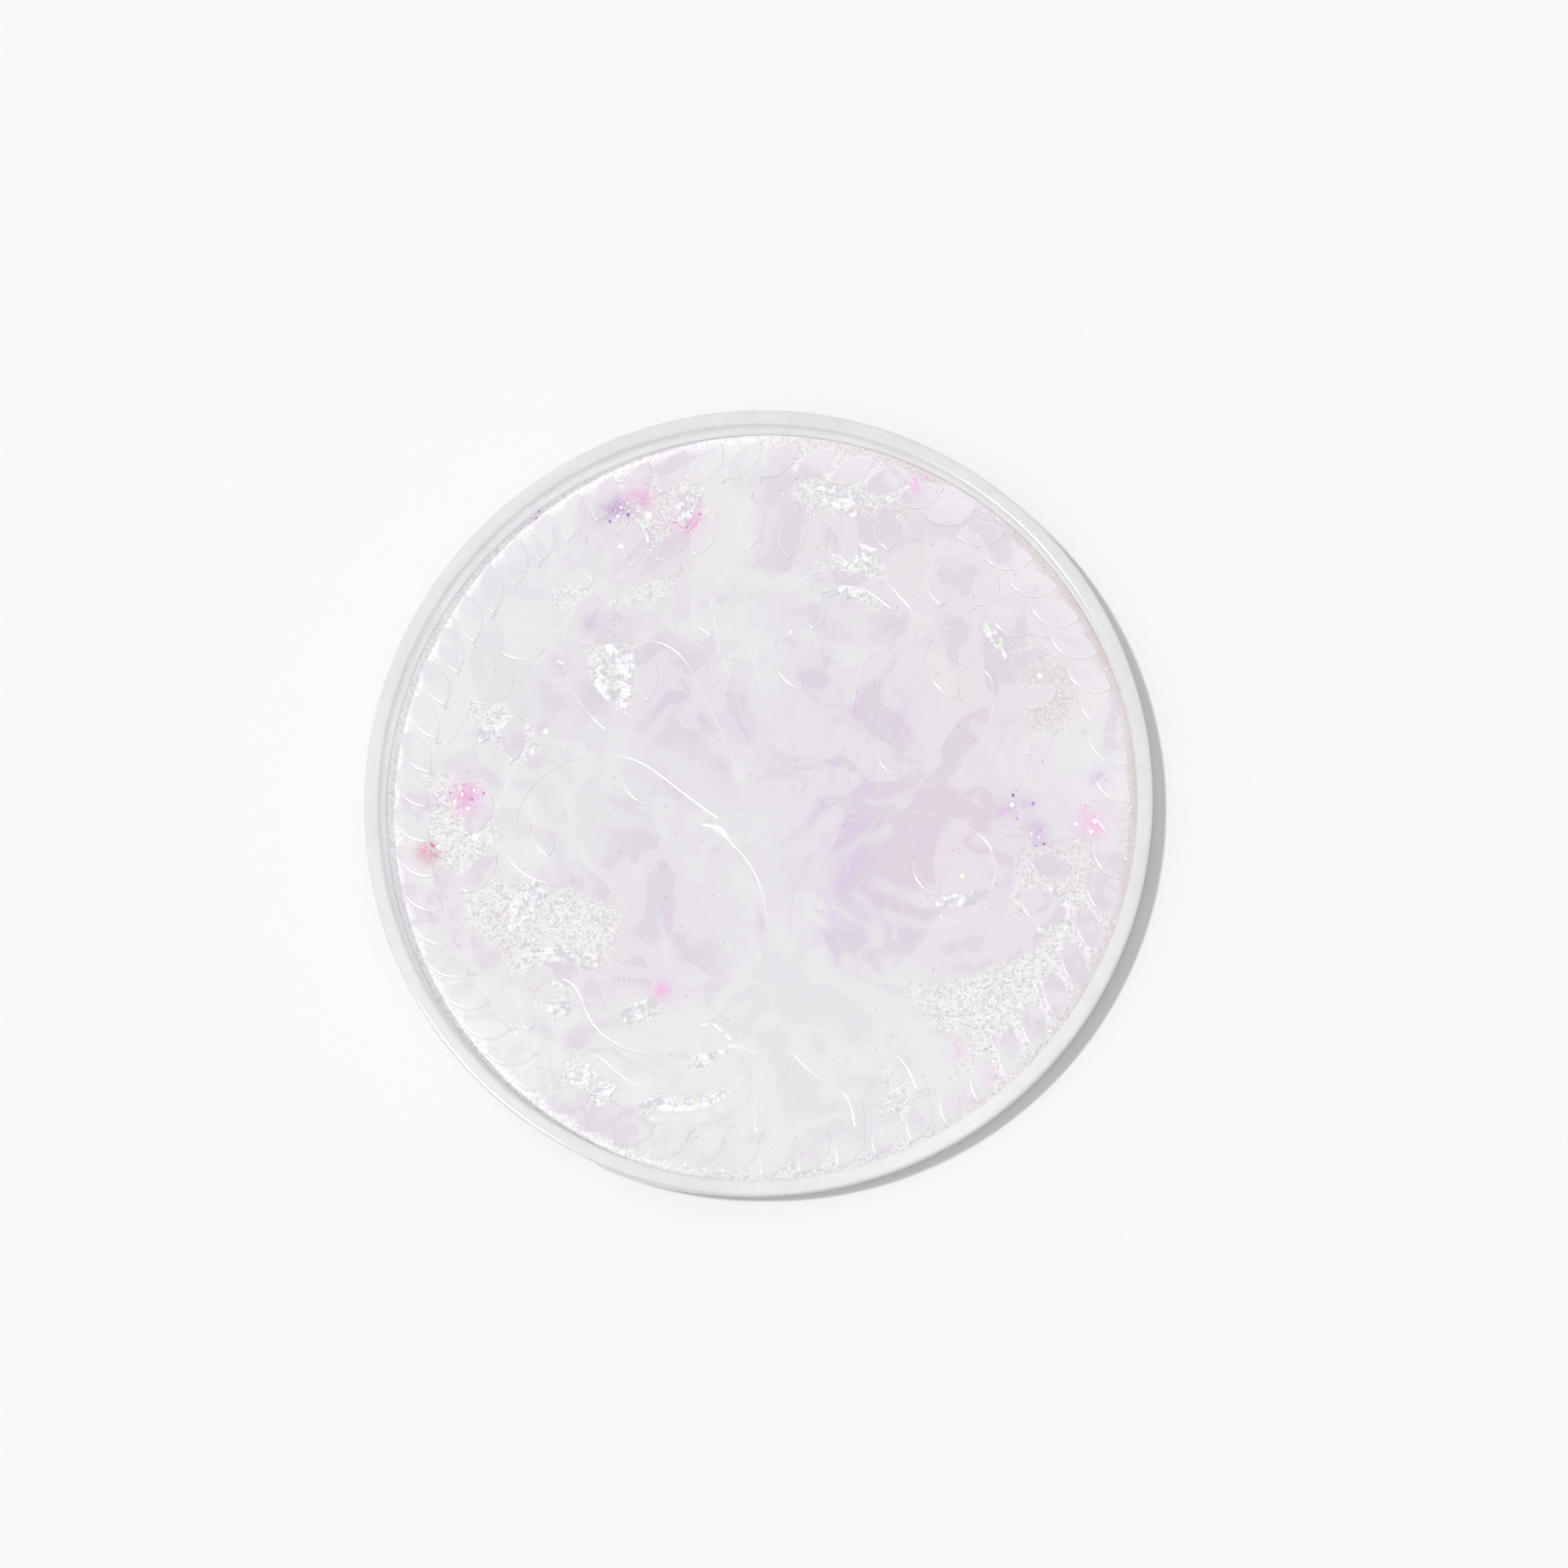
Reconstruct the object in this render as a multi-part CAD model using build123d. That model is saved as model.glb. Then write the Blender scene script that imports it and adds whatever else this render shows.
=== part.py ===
"""Round cast-resin coaster with a raised rim, a wreath of leaves and a tree in low relief.

The casting is made in a mould, face down, in several pours: the rim channel, the leaf and tree
hollows of the face, the swirls and flakes laid in behind them, and the clear body that ties them
together. Each pour and each kind of inclusion is a solid of its own. Millimetres, +Z up, origin
at the centre of the underside.
"""
from build123d import *
import os
from math import cos, pi, radians, sin, sqrt, tan

# ---- driving sizes ----------------------------------------------------------------------------
outer_diameter = 100.0
overall_height = 9.0
rim_width = 1.9
rim_edge_radius = 0.55
wall_draft = 1.6               # degrees that both walls of the rim lean, so that the mould lets go
foot_edge_radius = 0.4
floor_thickness = 2.6          # clear body below the relief
relief_height = 0.8            # leaves and tree above the floor of the recess
relief_edge = 0.25             # chamfer round the top of a wreath leaf

leaf_count = 60
leaf_length = 6.4
leaf_width = 2.95
leaf_lean = 46.0               # degrees between a leaf and the radius it stands on
leaf_phase = 2.75              # degrees from +X to the first leaf
wreath_gap = 1.0               # from the outer leaf tips to the foot of the rim's wall

hollow_skin = 0.3              # least clear resin over or under an inclusion
milk_thickness = 0.7
lilac_thickness = 0.5
film_thickness = 0.08
layer_gap = 0.12               # clear resin between two layers of inclusions
hex_thickness = 0.12
hex_size = 1.1                 # across the corners of a large pearl hexagon
speck_size = 0.7               # across the corners of a coloured glitter speck

# ---- sizes worked out from them ---------------------------------------------------------------
outer_radius = outer_diameter / 2
lean_in = (overall_height - floor_thickness) * tan(radians(wall_draft))
bore_radius = outer_radius - rim_width                      # at the rim's top
bore_foot_radius = bore_radius - lean_in                    # where the rim's wall meets the floor
shoulder_radius = outer_radius - lean_in                    # outside, at the floor's height
foot_radius = outer_radius - overall_height * tan(radians(wall_draft))
leaf_reach = leaf_length / 2 * cos(radians(leaf_lean))      # half the wreath's radial width
wreath_radius = bore_foot_radius - wreath_gap - leaf_reach
tree_radius = wreath_radius - leaf_reach - 0.4              # the tree stays inside this circle
plan = tree_radius / 41.9      # the tree was drawn for a circle of 41.9 mm

film_z = floor_thickness - hollow_skin - film_thickness
hex_z = film_z - layer_gap - hex_thickness
milk_z = hex_z - layer_gap - milk_thickness
speck_z = milk_z - layer_gap - hex_thickness
lilac_z = speck_z - layer_gap - lilac_thickness

# ---- the tree, drawn about the relief's centre: points, width at the root, width at the tip ----
trunk_waist = 3.3
trunk_axis = 2.2               # the trunk stands a little to the right of the centre
trunk_lobe = 13.6              # radius of the round hollow on each side of the trunk
trunk_middle = -15.0
trunk_half_height = 12.6

branches_left = [
    ([(-1, -2), (-9, 3.5), (-15.5, 7.6), (-22, 8.2), (-28, 5.6), (-31.7, 0.8), (-32, -4), (-29.2, -8),
      (-24.6, -9.2)], 5.0, 1.9),
    ([(-1, 0), (-9.5, 5.2), (-17, 9.6), (-21.8, 14), (-23.9, 19.2), (-22.8, 24.6), (-18.4, 28.4), (-11, 30.6)],
     4.4, 1.8),
    ([(0, 2), (-3.4, 9.5), (-6.6, 16), (-10.5, 21), (-16, 22.3), (-21, 21.8), (-24.2, 22.4)], 3.8, 1.9),
    ([(1, 3), (-0.6, 11), (-2.9, 17.6), (-4.6, 23), (-4.2, 28.4), (-0.8, 30.6)], 4.2, 1.7),
    ([(-23.8, 18), (-26, 19.4), (-28.6, 16.6), (-30.4, 12.8)], 1.8, 1.2),
]
branches_right = [
    ([(5, -2), (11.5, 0.2), (18, 0.9), (24.5, -0.4), (29.6, -4), (31, -9.2), (28.4, -13.6), (23.6, -14)],
     5.2, 1.9),
    ([(22, 0.6), (26.8, 4), (29.6, 8.6), (30.6, 13), (29.4, 17), (26, 18.4)], 3.0, 1.7),
    ([(5, 0), (10.5, 6.2), (13, 11.6), (13.9, 17), (17.2, 21.2), (22.6, 23.4), (27.4, 26)], 4.0, 1.6),
    ([(13.2, 13), (18, 16.4), (20.4, 20.6), (20, 25), (17.4, 28), (16.5, 31.4)], 2.8, 1.5),
    ([(3.6, 2), (2.4, 9), (1.2, 15.6), (0.9, 21), (3.4, 25.6), (7.6, 28.8), (12.6, 28.6), (16.8, 25.6)], 3.8, 1.6),
    ([(31.6, -8.6), (33, -4.6), (33.6, 0), (34.2, 4)], 1.8, 1.3),
]
roots_left = [
    ([(1.4, -25), (-5, -29), (-11, -30.2), (-16.6, -29.4), (-20.6, -26.4), (-22.4, -22.6), (-26.2, -20.8),
      (-29.6, -23.4), (-29.4, -27.4)], 4.2, 1.9),
    ([(1.2, -27), (-4, -33.4), (-10.4, -35.2), (-16.2, -34), (-20.8, -30.8), (-25, -31.4), (-26.2, -35)], 3.6, 1.7),
    ([(1.6, -28), (-1.6, -36), (-7.6, -39.4), (-13, -39.4)], 3.4, 1.6),
]
roots_right = [
    ([(3, -25), (9, -29), (14.4, -29.6), (18.2, -31.6), (20.2, -35.6)], 4.0, 1.7),
    ([(3, -27), (7.8, -33.6), (11.4, -36.4), (12.4, -40.2)], 3.4, 1.6),
    ([(2.4, -28), (2.2, -34), (0.2, -38), (0, -40.8)], 3.0, 1.6),
]
# leaves of the crown: stem end, tip, width
crown_left = [
    ((-1.3, 33.0), (-1.0, 39.4), 3.0), ((-16.6, 30.8), (-15.6, 36.6), 3.1), ((-13.4, 31.6), (-9.2, 35.6), 2.7),
    ((-21.4, 29.0), (-22.4, 34.2), 2.6), ((-27.6, 20.2), (-33.6, 20.4), 2.9), ((-31.4, 16.6), (-36.8, 13.6), 3.1),
    ((-31.2, 12.2), (-31.8, 5.8), 3.2), ((-14.6, 20.4), (-14.4, 13.4), 2.9), ((-6.2, 21.6), (-8.4, 27.2), 2.6),
    ((-34.2, 1.6), (-37.6, -3.4), 3.0), ((-33.6, -6.0), (-37.8, -10.8), 3.2), ((-28.2, -1.2), (-27.0, -6.4), 2.8),
    ((-8.6, 32.2), (-5.6, 37.4), 2.8), ((-17.6, 4.8), (-14.0, 0.2), 2.9),
]
crown_right = [
    ((3.4, 31.6), (4.8, 38.4), 3.6), ((11.4, 30.6), (10.2, 37.2), 3.5), ((16.3, 32.4), (15.8, 38.4), 3.4),
    ((7.4, 27.2), (6.6, 22.4), 2.8), ((1.9, 19.6), (5.4, 14.8), 2.8), ((23.0, 25.2), (22.4, 30.8), 3.0),
    ((28.8, 26.4), (31.6, 30.2), 2.7), ((29.4, 24.2), (34.2, 21.6), 3.0), ((31.6, 17.2), (35.2, 19.2), 2.6),
    ((32.4, 12.6), (37.8, 14.6), 3.1), ((33.6, 6.2), (37.2, 9.0), 2.7), ((34.0, -7.4), (39.2, -8.8), 3.0),
    ((32.8, -11.4), (38.4, -15.2), 4.2), ((21.6, 17.8), (25.2, 13.6), 2.8), ((17.4, 3.6), (15.2, 8.2), 2.9),
    ((22.6, -11.6), (19.4, -7.0), 2.8),
]
# smears of colour inside the body: points, width at one end, width at the other
milk_smears = [
    ([(-36, 6), (-28, 20), (-12, 27), (4, 24)], 7.0, 6.0),
    ([(-22, -6), (-8, 2), (6, -4), (4, -22), (8, -36)], 9.0, 8.0),
    ([(14, 30), (26, 24), (34, 10), (38, 0)], 8.0, 7.0),
    ([(-20, -36), (-8, -40), (-1, -36)], 5.0, 5.0),
]
lilac_smears = [
    ([(-10, 12), (2, 12), (14, 6), (22, -6), (12, -18), (6, -10)], 6.0, 4.0),
    ([(24, 6), (30, -2), (28, -10)], 4.0, 3.0),
    ([(-24, 24), (-14, 16), (-16, 6)], 4.0, 3.0),
]
# crumpled film: middle, length, width, turn in degrees
film_places = [
    (10, 39.5, 6.0, 2.6, -28), (12.5, 31.2, 4.4, 3.2, 70), (10.6, 27.4, 5.2, 1.6, 0), (-9.6, 38.4, 4.6, 2.4, 60),
    (-15.0, 35.6, 4.6, 2.2, 85), (-18.8, 16.4, 8.4, 4.6, 82), (-30.4, -12.6, 6.6, 3.2, 48),
    (-25.6, -18.9, 9.6, 1.8, -8), (-25.4, -24.2, 4.6, 2.6, 80), (-15.4, -26.0, 4.6, 2.2, 24),
    (-21.8, -34.8, 6.6, 3.2, -38), (-9.4, -37.8, 12.0, 2.0, 5), (-5.6, -32.2, 4.8, 2.2, 0),
    (24.8, -12.6, 5.0, 2.4, 8), (36.0, -13.6, 5.0, 4.2, 40), (30.0, 21.0, 5.0, 1.4, -52), (-33.6, 10.0, 5.4, 2.2, 20),
]
# pearl hexagons that flash green and gold
pearl_places = [
    (-17.9, 33.4), (3.9, 22.2), (-24.0, 8.6), (-27.4, 9.8), (25.6, -9.2), (-36.4, -3.6), (19.8, -39.4), (16.6, 36.6),
    (35.4, 16.2), (7.2, 33.2), (-31.0, -28.8),
]
# knots of coloured glitter: middle, how many specks, how far they spread
violet_knots = [(-29.8, 38.2, 7, 1.5), (-18.4, 38.6, 9, 2.2), (32.6, -0.8, 9, 2.2), (34.8, -4.4, 6, 1.5)]
magenta_knots = [(-9.6, 37.0, 9, 2.0), (-37.4, 1.2, 10, 2.4), (20.4, 41.0, 6, 1.8), (41.8, -2.4, 7, 2.2)]
red_knots = [(-42.4, -5.4, 9, 1.5)]

golden_angle = pi * (3 - sqrt(5))


# ---- shapes -----------------------------------------------------------------------------------
def ribbon(points, start_width, end_width):
    """A strand's outline: two splines beside its centre line, with a round tip. The width falls evenly."""
    line = Spline(*points)
    steps = 3 * (len(points) - 1)
    sides = {1: [], -1: []}
    for step in range(steps + 1):
        share = step / steps
        half = (start_width + (end_width - start_width) * share) / 2
        along = line % share
        for side in sides:
            sides[side].append(line @ share + Vector(-along.Y, along.X) * (side * half))
    tip = line @ 1 + (line % 1) * (end_width / 2)
    edges = [
        Spline(*sides[1]),
        ThreePointArc(sides[1][-1], tip, sides[-1][-1]),
        Spline(*reversed(sides[-1])),
        Line(sides[-1][0], sides[1][0]),
    ]
    return Face(Wire(edges))


def leaf(stem, tip, width):
    """A pointed leaf outline: two arcs that meet at the stem end and the tip."""
    stem, tip = Vector(*stem), Vector(*tip)
    across = (tip - stem).normalized()
    side = Vector(-across.Y, across.X) * (width / 2)
    middle = (stem + tip) / 2
    return Face(Wire([ThreePointArc(stem, middle + side, tip), ThreePointArc(tip, middle - side, stem)]))


def scaled(points):
    """Points of the tree's drawing, brought to the size of the circle that the wreath leaves."""
    return [(x * plan, y * plan) for x, y in points]


def strands(drawn):
    """The joined outline of several strands, kept inside the tree's circle."""
    outline = Sketch()
    for points, start_width, end_width in drawn:
        outline += ribbon(scaled(points), start_width, end_width)
    return outline & Circle(tree_radius)


def trunk_outline():
    """The trunk: a block with a round hollow of trunk_lobe cut from each side, down to its waist."""
    top = (trunk_middle + trunk_half_height) * plan
    foot = (trunk_middle - trunk_half_height) * plan
    half = trunk_waist / 2 + trunk_lobe - sqrt(trunk_lobe**2 - trunk_half_height**2)
    axis = trunk_axis * plan
    edges = [
        ThreePointArc((axis + half, top), (axis + trunk_waist / 2, trunk_middle * plan), (axis + half, foot)),
        ThreePointArc((axis + half, foot), (axis, foot - 1.6), (axis - half, foot)),
        ThreePointArc((axis - half, foot), (axis - trunk_waist / 2, trunk_middle * plan), (axis - half, top)),
        ThreePointArc((axis - half, top), (axis, top + 3.4), (axis + half, top)),
    ]
    return Sketch() + Face(Wire(edges))


def raised(outline):
    """A relief piece: its outline, standing on the floor of the recess."""
    return Pos(0, 0, floor_thickness) * extrude(outline, amount=relief_height, dir=(0, 0, 1))


def layer(outline, low, thickness):
    return Pos(0, 0, low) * extrude(outline, amount=thickness, dir=(0, 0, 1))


def wreath_leaves():
    """Equal leaves in a ring, each leaning the same way, with a chamfered top edge."""
    middle = Vector(wreath_radius, 0)
    lean = radians(leaf_lean)
    half = Vector(-cos(lean), sin(lean)) * (leaf_length / 2)
    outline = leaf(middle - half, middle + half, leaf_width)
    one = raised(outline)
    one = chamfer(one.faces().sort_by(Axis.Z)[-1].edges(), relief_edge)
    pitch = 360 / leaf_count
    return [Rot(0, 0, leaf_phase + pitch * number) * one for number in range(leaf_count)]


def crown_leaves(drawn, strands_beside):
    """Leaves of the crown, cut back where they would run into a strand or the wreath."""
    outline = Sketch()
    for stem, tip, width in drawn:
        outline += leaf(*scaled([stem, tip]), width)
    return outline & Circle(tree_radius) - strands_beside


def clear_disc():
    """The body: a disc that widens upwards, rounded along its foot."""
    disc = Pos(0, 0, floor_thickness / 2) * Cone(foot_radius, shoulder_radius, floor_thickness)
    return fillet(disc.edges().sort_by(Axis.Z)[0], foot_edge_radius)


def rim_ring():
    """The standing rim: a ring on the clear body, leaning out, round along both edges of its top."""
    height = overall_height - floor_thickness
    ring = Cone(shoulder_radius, outer_radius, height) - Cone(bore_foot_radius, bore_radius, height)
    ring = Pos(0, 0, floor_thickness + height / 2) * ring
    top = ring.faces().sort_by(Axis.Z)[-1]
    return fillet(top.edges(), rim_edge_radius)


def film_piece(x, y, length, width, turn):
    """A torn piece of film: four corners, none of them square."""
    corners = [(-0.5, -0.32), (0.36, -0.5), (0.5, 0.3), (-0.28, 0.5)]
    outline = Polyline(*[(a * length, b * width) for a, b in corners], close=True)
    return Pos(x * plan, y * plan) * Rot(0, 0, turn) * Face(Wire(outline.edges()))


def knot(x, y, count, spread):
    """Glitter specks round a point, spaced as seeds are in a sunflower.

    A knot near the outer wall is pulled in until all of it has its skin of clear resin.
    """
    most_away = foot_radius - hollow_skin - speck_size / 2 - spread
    pull = min(1, most_away / (plan * sqrt(x * x + y * y)))
    x, y = x * pull, y * pull
    found = []
    for number in range(count):
        away, turn = spread * sqrt((number + 0.5) / count), number * golden_angle
        place = Pos(x * plan + away * cos(turn), y * plan + away * sin(turn))
        found.append(place * RegularPolygon(speck_size / 2, 6))
    return found


def knots(drawn):
    return [layer(face, speck_z, hex_thickness) for one in drawn for face in knot(*one)]


# ---- the casting ------------------------------------------------------------------------------
def smears(drawn, low, thickness):
    outline = Sketch()
    for points, start_width, end_width in drawn:
        outline += ribbon(scaled(points), start_width, end_width)
    return layer(outline, low, thickness)


inclusions = {
    "milk_swirl": [smears(milk_smears, milk_z, milk_thickness)],
    "lilac_swirl": [smears(lilac_smears, lilac_z, lilac_thickness)],
    "film_flakes": [layer(film_piece(*one), film_z, film_thickness) for one in film_places],
    "pearl_hexagons": [
        layer(Pos(x * plan, y * plan) * RegularPolygon(hex_size / 2, 6), hex_z, hex_thickness)
        for x, y in pearl_places
    ],
    "violet_glitter": knots(violet_knots),
    "magenta_glitter": knots(magenta_knots),
    "red_glitter": knots(red_knots),
}

trunk = trunk_outline()
left_strands = strands(branches_left) - trunk
right_strands = strands(branches_right) - trunk - left_strands
left_roots = strands(roots_left) - trunk
right_roots = strands(roots_right) - trunk - left_roots
tree = trunk + left_strands + right_strands + left_roots + right_roots

body = clear_disc()
for pieces in inclusions.values():
    body -= pieces

nodes = {
    "clear_body": [body],
    "rim_ring": [rim_ring()],
    "wreath_leaves": wreath_leaves(),
    "trunk": [raised(trunk)],
    "branches_left": [raised(left_strands)],
    "branches_right": [raised(right_strands)],
    "roots_left": [raised(left_roots)],
    "roots_right": [raised(right_roots)],
    "crown_leaves_left": [raised(crown_leaves(crown_left, tree))],
    "crown_leaves_right": [raised(crown_leaves(crown_right, tree))],
    **inclusions,
}

os.makedirs("parts", exist_ok=True)
for name, pieces in nodes.items():
    solids = [solid for piece in pieces for solid in piece.solids()]
    export_step(Compound(children=solids) if len(solids) > 1 else solids[0], f"parts/{name}.step")
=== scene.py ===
"""Looks for the round cast-resin coaster: a clear glittery casting with milk and lilac swirls.

Every new piece is a surface worked out as whole arrays in millimetres and put into the mesh in metres.
+X is right, +Y is the crown of the tree and +Z is up; the casting stands on z = 0, centred on the Z axis.
"""
from math import cos, pi, radians, sin, tan
import bpy
import numpy as np
from mathutils import Matrix, Vector


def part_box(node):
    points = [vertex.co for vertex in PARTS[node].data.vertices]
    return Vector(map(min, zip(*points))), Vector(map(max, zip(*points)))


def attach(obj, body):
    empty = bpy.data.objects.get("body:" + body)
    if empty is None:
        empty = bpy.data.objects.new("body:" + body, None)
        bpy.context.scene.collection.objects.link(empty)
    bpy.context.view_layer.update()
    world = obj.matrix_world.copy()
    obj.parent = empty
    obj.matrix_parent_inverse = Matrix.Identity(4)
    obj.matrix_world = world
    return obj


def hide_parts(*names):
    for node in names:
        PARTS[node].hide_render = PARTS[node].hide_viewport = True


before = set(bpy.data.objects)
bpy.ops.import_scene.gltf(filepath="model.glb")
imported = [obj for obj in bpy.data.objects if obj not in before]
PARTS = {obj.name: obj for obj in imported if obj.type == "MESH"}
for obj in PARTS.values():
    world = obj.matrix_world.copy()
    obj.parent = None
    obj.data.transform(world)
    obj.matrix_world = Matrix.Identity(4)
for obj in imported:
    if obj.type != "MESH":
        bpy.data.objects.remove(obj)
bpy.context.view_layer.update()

MM = 0.001                          # the frame is in metres, the sizes below are in millimetres


def box_mm(node):
    """A CAD node's lowest and highest corners, in millimetres."""
    low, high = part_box(node)
    return np.array(low) / MM, np.array(high) / MM


# ---- sizes read from the frame ------------------------------------------------------------------
FLOOR = box_mm("clear_body")[1][2]      # top of the clear disc, the floor of the recess
OUTER, _, RIM_TOP = box_mm("rim_ring")[1]
LEAF_TIPS, _, leaf_top = box_mm("wreath_leaves")[1]
RELIEF = (leaf_top - FLOOR) * 0.42      # how far the soft-edged leaves and the tree stand up
MILK_LOW, MILK_HIGH = (corner[2] for corner in box_mm("milk_swirl"))
LILAC_LOW, LILAC_HIGH = (corner[2] for corner in box_mm("lilac_swirl"))

# ---- sizes of the casting ---------------------------------------------------------------------------
RIM_WIDTH = 1.9
LIP = 0.45                          # how far resin that crept past the mould's edge stands out
LIP_TURN = 249.0                    # degrees from +X to where it stands out most
RIM_EDGE = 0.38                     # rounding of the rim's edges, a little crisper than in the CAD
CORNER = 0.03                       # an extra rung this close to a corner keeps it sharp
RIPPLE = 0.03                       # the mould's wall is this far from round
WALL_SEED = 4                       # picks the phases of that wave, the same for the disc and the rim
SKIN = 0.2                          # faces nearer the floor's height than this count as upper faces
FOOT_EDGE = 0.4
FILM_REACH = 0.13                   # the film's folds reach this far under and over the floor's height
DISC_SPECKS, RIM_SPECKS = 40000, 5000         # glitter tried over the whole disc, and glitter in the rim
DISC_SPECK, RIM_SPECK = 0.22, 0.18            # widest speck across
WALL_LEAN = tan(radians(1.6))
LEAF_COUNT = 60
LEAF_LENGTH = 6.4
LEAF_WIDTH = 2.95
LEAF_LEAN = radians(46.0)
LEAF_PHASE = radians(2.75)
LEAF_REACH = LEAF_LENGTH / 2 * cos(LEAF_LEAN)
TREE_RADIUS = LEAF_TIPS - 2 * LEAF_REACH - 0.4
PLAN = TREE_RADIUS / 41.9           # the tree was drawn for a circle of 41.9 mm
TRUNK_WAIST = 3.3
TRUNK_AXIS = 2.2
TRUNK_LOBE = 13.6
TRUNK_MIDDLE = -15.0
TRUNK_HALF_HEIGHT = 12.6
TRUNK_HEAD = 7.0                    # the soft mound that the branches grow out of, above the trunk
TRUNK_FOOT = 4.5                    # and the one that the roots grow out of

LIGHT_AZIMUTH = radians(172.0)      # the key light's direction, from +X
LIGHT_ELEVATION = radians(79.5)
TAN_AZIMUTH = radians(25.0)         # the way the tan tint beside the rim is strongest, from +X
GLOW_AZIMUTH = radians(-60.0)       # where the rim's painted glow is strongest, painted as light that entered on the far side leaving it again

# strands: points of the centre line, width at the root, width at the tip
BRANCHES_LEFT = [
    ([(-1, -2), (-9, 3.5), (-15.5, 7.6), (-22, 8.2), (-28, 5.6), (-31.7, 0.8), (-32, -4), (-29.2, -8),
     (-24.6, -9.2)], 5.0, 1.9),
    ([(-1, 0), (-9.5, 5.2), (-17, 9.6), (-21.8, 14), (-23.9, 19.2), (-22.8, 24.6), (-18.4, 28.4), (-11,
     30.6)], 4.4, 1.8),
    ([(0, 2), (-3.4, 9.5), (-6.6, 16), (-10.5, 21), (-16, 22.3), (-21, 21.8), (-24.2, 22.4)], 3.8, 1.9),
    ([(1, 3), (-0.6, 11), (-2.9, 17.6), (-4.6, 23), (-4.2, 28.4), (-0.8, 30.6)], 4.2, 1.7),
    ([(-23.8, 18), (-26, 19.4), (-28.6, 16.6), (-30.4, 12.8)], 1.8, 1.2),
]
BRANCHES_RIGHT = [
    ([(5, -2), (11.5, 0.2), (18, 0.9), (24.5, -0.4), (29.6, -4), (31, -9.2), (28.4, -13.6), (23.6, -14)],
     5.2, 1.9),
    ([(22, 0.6), (26.8, 4), (29.6, 8.6), (30.6, 13), (29.4, 17), (26, 18.4)], 3.0, 1.7),
    ([(5, 0), (10.5, 6.2), (13, 11.6), (13.9, 17), (17.2, 21.2), (22.6, 23.4), (27.4, 26)], 4.0, 1.6),
    ([(13.2, 13), (18, 16.4), (20.4, 20.6), (20, 25), (17.4, 28), (16.5, 31.4)], 2.8, 1.5),
    ([(3.6, 2), (2.4, 9), (1.2, 15.6), (0.9, 21), (3.4, 25.6), (7.6, 28.8), (12.6, 28.6), (16.8, 25.6)],
     3.8, 1.6),
    ([(31.6, -8.6), (33, -4.6), (33.6, 0), (34.2, 4)], 1.8, 1.3),
]
ROOTS_LEFT = [
    ([(1.4, -25), (-5, -29), (-11, -30.2), (-16.6, -29.4), (-20.6, -26.4), (-22.4, -22.6), (-26.2, -20.8),
     (-29.6, -23.4), (-29.4, -27.4)], 4.2, 1.9),
    ([(1.2, -27), (-4, -33.4), (-10.4, -35.2), (-16.2, -34), (-20.8, -30.8), (-25, -31.4), (-26.2, -35)],
     3.6, 1.7),
    ([(1.6, -28), (-1.6, -36), (-7.6, -39.4), (-13, -39.4)], 3.4, 1.6),
]
ROOTS_RIGHT = [
    ([(3, -25), (9, -29), (14.4, -29.6), (18.2, -31.6), (20.2, -35.6)], 4.0, 1.7),
    ([(3, -27), (7.8, -33.6), (11.4, -36.4), (12.4, -40.2)], 3.4, 1.6),
    ([(2.4, -28), (2.2, -34), (0.2, -38), (0, -40.8)], 3.0, 1.6),
]
# loose leaves: stem end, tip, width
CROWN_LEFT = [
    ((-1.3, 33.0), (-1.0, 39.4), 3.0), ((-16.6, 30.8), (-15.6, 36.6), 3.1),
    ((-13.4, 31.6), (-9.2, 35.6), 2.7), ((-21.4, 29.0), (-22.4, 34.2), 2.6),
    ((-27.6, 20.2), (-33.6, 20.4), 2.9), ((-31.4, 16.6), (-36.8, 13.6), 3.1),
    ((-31.2, 12.2), (-31.8, 5.8), 3.2), ((-14.6, 20.4), (-14.4, 13.4), 2.9),
    ((-6.2, 21.6), (-8.4, 27.2), 2.6), ((-34.2, 1.6), (-37.6, -3.4), 3.0),
    ((-33.6, -6.0), (-37.8, -10.8), 3.2), ((-28.2, -1.2), (-27.0, -6.4), 2.8),
    ((-8.6, 32.2), (-5.6, 37.4), 2.8), ((-17.6, 4.8), (-14.0, 0.2), 2.9),
]
CROWN_RIGHT = [
    ((3.4, 31.6), (4.8, 38.4), 3.6), ((11.4, 30.6), (10.2, 37.2), 3.5), ((16.3, 32.4), (15.8, 38.4), 3.4),
    ((7.4, 27.2), (6.6, 22.4), 2.8), ((1.9, 19.6), (5.4, 14.8), 2.8), ((23.0, 25.2), (22.4, 30.8), 3.0),
    ((28.8, 26.4), (31.6, 30.2), 2.7), ((29.4, 24.2), (34.2, 21.6), 3.0), ((31.6, 17.2), (35.2, 19.2), 2.6),
    ((32.4, 12.6), (37.8, 14.6), 3.1), ((33.6, 6.2), (37.2, 9.0), 2.7), ((34.0, -7.4), (39.2, -8.8), 3.0),
    ((32.8, -11.4), (38.4, -15.2), 4.2), ((21.6, 17.8), (25.2, 13.6), 2.8), ((17.4, 3.6), (15.2, 8.2), 2.9),
    ((22.6, -11.6), (19.4, -7.0), 2.8),
]
MILK_SMEARS = [
    ([(-36, 6), (-28, 20), (-12, 27), (4, 24)], 7.0, 6.0),
    ([(-22, -6), (-8, 2), (6, -4), (4, -22), (8, -36)], 9.0, 8.0),
    ([(14, 30), (26, 24), (34, 10), (38, 0)], 8.0, 7.0), ([(-20, -36), (-8, -40), (-1, -36)], 5.0, 5.0),
]
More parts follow.
